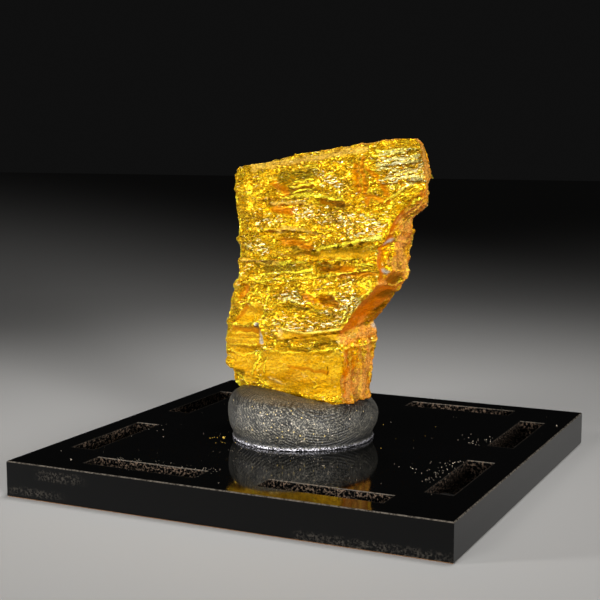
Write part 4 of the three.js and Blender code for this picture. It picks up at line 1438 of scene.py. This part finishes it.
def on_putty(at):
    return math.hypot(at.x - PUTTY_AT[0], at.y - PUTTY_AT[1]) < PUTTY_LIP_RADIUS + PUTTY_CLEARANCE


class SPECIMEN_OT_dust(bpy.types.Operator):
    """Scatters pale dust and golden crumbs on the base"""

    bl_idname = "specimen.dust"
    bl_label = "Dust"

    def execute(self, context):
        settings = context.scene.specimen_dust
        chance = random.Random(settings.seed)
        kinds = (
            ("dust_grains", PALE_DUST, dust_material("pale_dust", PALE_GRAIN), "black_acrylic"),
            ("gold_crumbs", GOLD_DUST, dust_material("gold_dust", GOLD_GRAIN), "orpiment"),
        )
        for name, zones, material, slot in kinds:
            bm = bmesh.new()
            scatter(bm, zones, settings.grain / MM, chance)
            bmesh.ops.scale(bm, vec=(MM, MM, MM), verts=bm.verts)
            piece = finish_mesh(bm, name)
            piece.data.materials.append(material)
            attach(piece, BODY)
        return {"FINISHED"}


def add_light(name, at, size, energy, spread):
    data = bpy.data.lights.new(name, "AREA")
    data.shape = "SQUARE"
    data.size = size
    data.energy = energy
    data.spread = math.radians(spread)
    lamp = bpy.data.objects.new(name, data)
    lamp.location = at
    lamp.rotation_euler = (LIT_POINT - Vector(at)).to_track_quat("-Z", "Y").to_euler()
    bpy.context.scene.collection.objects.link(lamp)


def dark_room():
    world = bpy.data.worlds.new("studio")
    world.use_nodes = True
    world.node_tree.nodes["Background"].inputs["Color"].default_value = DARK_ROOM
    return world


def add_camera():
    data = bpy.data.cameras.new("camera")
    data.sensor_width = SENSOR_WIDTH
    data.lens = CAMERA_LENS
    data.clip_start = CLIP_START
    camera = bpy.data.objects.new("camera", data)
    camera.location = CAMERA_AT
    camera.rotation_euler = (math.pi / 2 - CAMERA_ELEVATION, 0, CAMERA_AZIMUTH)
    bpy.context.scene.collection.objects.link(camera)
    return camera


class SPECIMEN_OT_stage(bpy.types.Operator):
    """Sets up the floor, the soft lights and the camera"""

    bl_idname = "specimen.stage"
    bl_label = "Studio"

    def execute(self, context):
        settings = context.scene.specimen_stage
        bm = bmesh.new()
        bmesh.ops.create_grid(bm, x_segments=1, y_segments=1, size=settings.floor_size / 2)
        floor = finish_mesh(bm, "floor")
        floor.data.materials.append(plain_material("floor_paper", settings.floor, 0.7))

        for light in LIGHTS:
            add_light(*light)
        context.scene.world = dark_room()
        context.scene.view_settings.view_transform = "Standard"
        context.scene.camera = add_camera()
        return {"FINISHED"}


class SPECIMEN_PT_panel(bpy.types.Panel):
    """Lists the specimen's pieces"""

    bl_idname = "SPECIMEN_PT_panel"
    bl_label = "Specimen"
    bl_space_type = "VIEW_3D"
    bl_region_type = "UI"
    bl_category = "Specimen"

    def draw(self, context):
        for operator in OPERATORS:
            self.layout.operator(operator.bl_idname)


SETTINGS = {
    "specimen_crystal": CrystalSettings,
    "specimen_putty": PuttySettings,
    "specimen_base": BaseSettings,
    "specimen_dust": DustSettings,
    "specimen_stage": StageSettings,
}
OPERATORS = (SPECIMEN_OT_crystal, SPECIMEN_OT_putty, SPECIMEN_OT_base, SPECIMEN_OT_dust, SPECIMEN_OT_stage)


def register():
    for name, group in SETTINGS.items():
        bpy.utils.register_class(group)
        setattr(bpy.types.Scene, name, PointerProperty(type=group))
    for operator in OPERATORS:
        bpy.utils.register_class(operator)
    bpy.utils.register_class(SPECIMEN_PT_panel)


def unregister():
    bpy.utils.unregister_class(SPECIMEN_PT_panel)
    for operator in reversed(OPERATORS):
        bpy.utils.unregister_class(operator)
    for name, group in SETTINGS.items():
        delattr(bpy.types.Scene, name)
        bpy.utils.unregister_class(group)


def main():
    register()
    bpy.ops.specimen.crystal()
    bpy.ops.specimen.putty()
    bpy.ops.specimen.base()
    bpy.ops.specimen.dust()
    bpy.ops.specimen.stage()


if __name__ == "__main__":
    main()
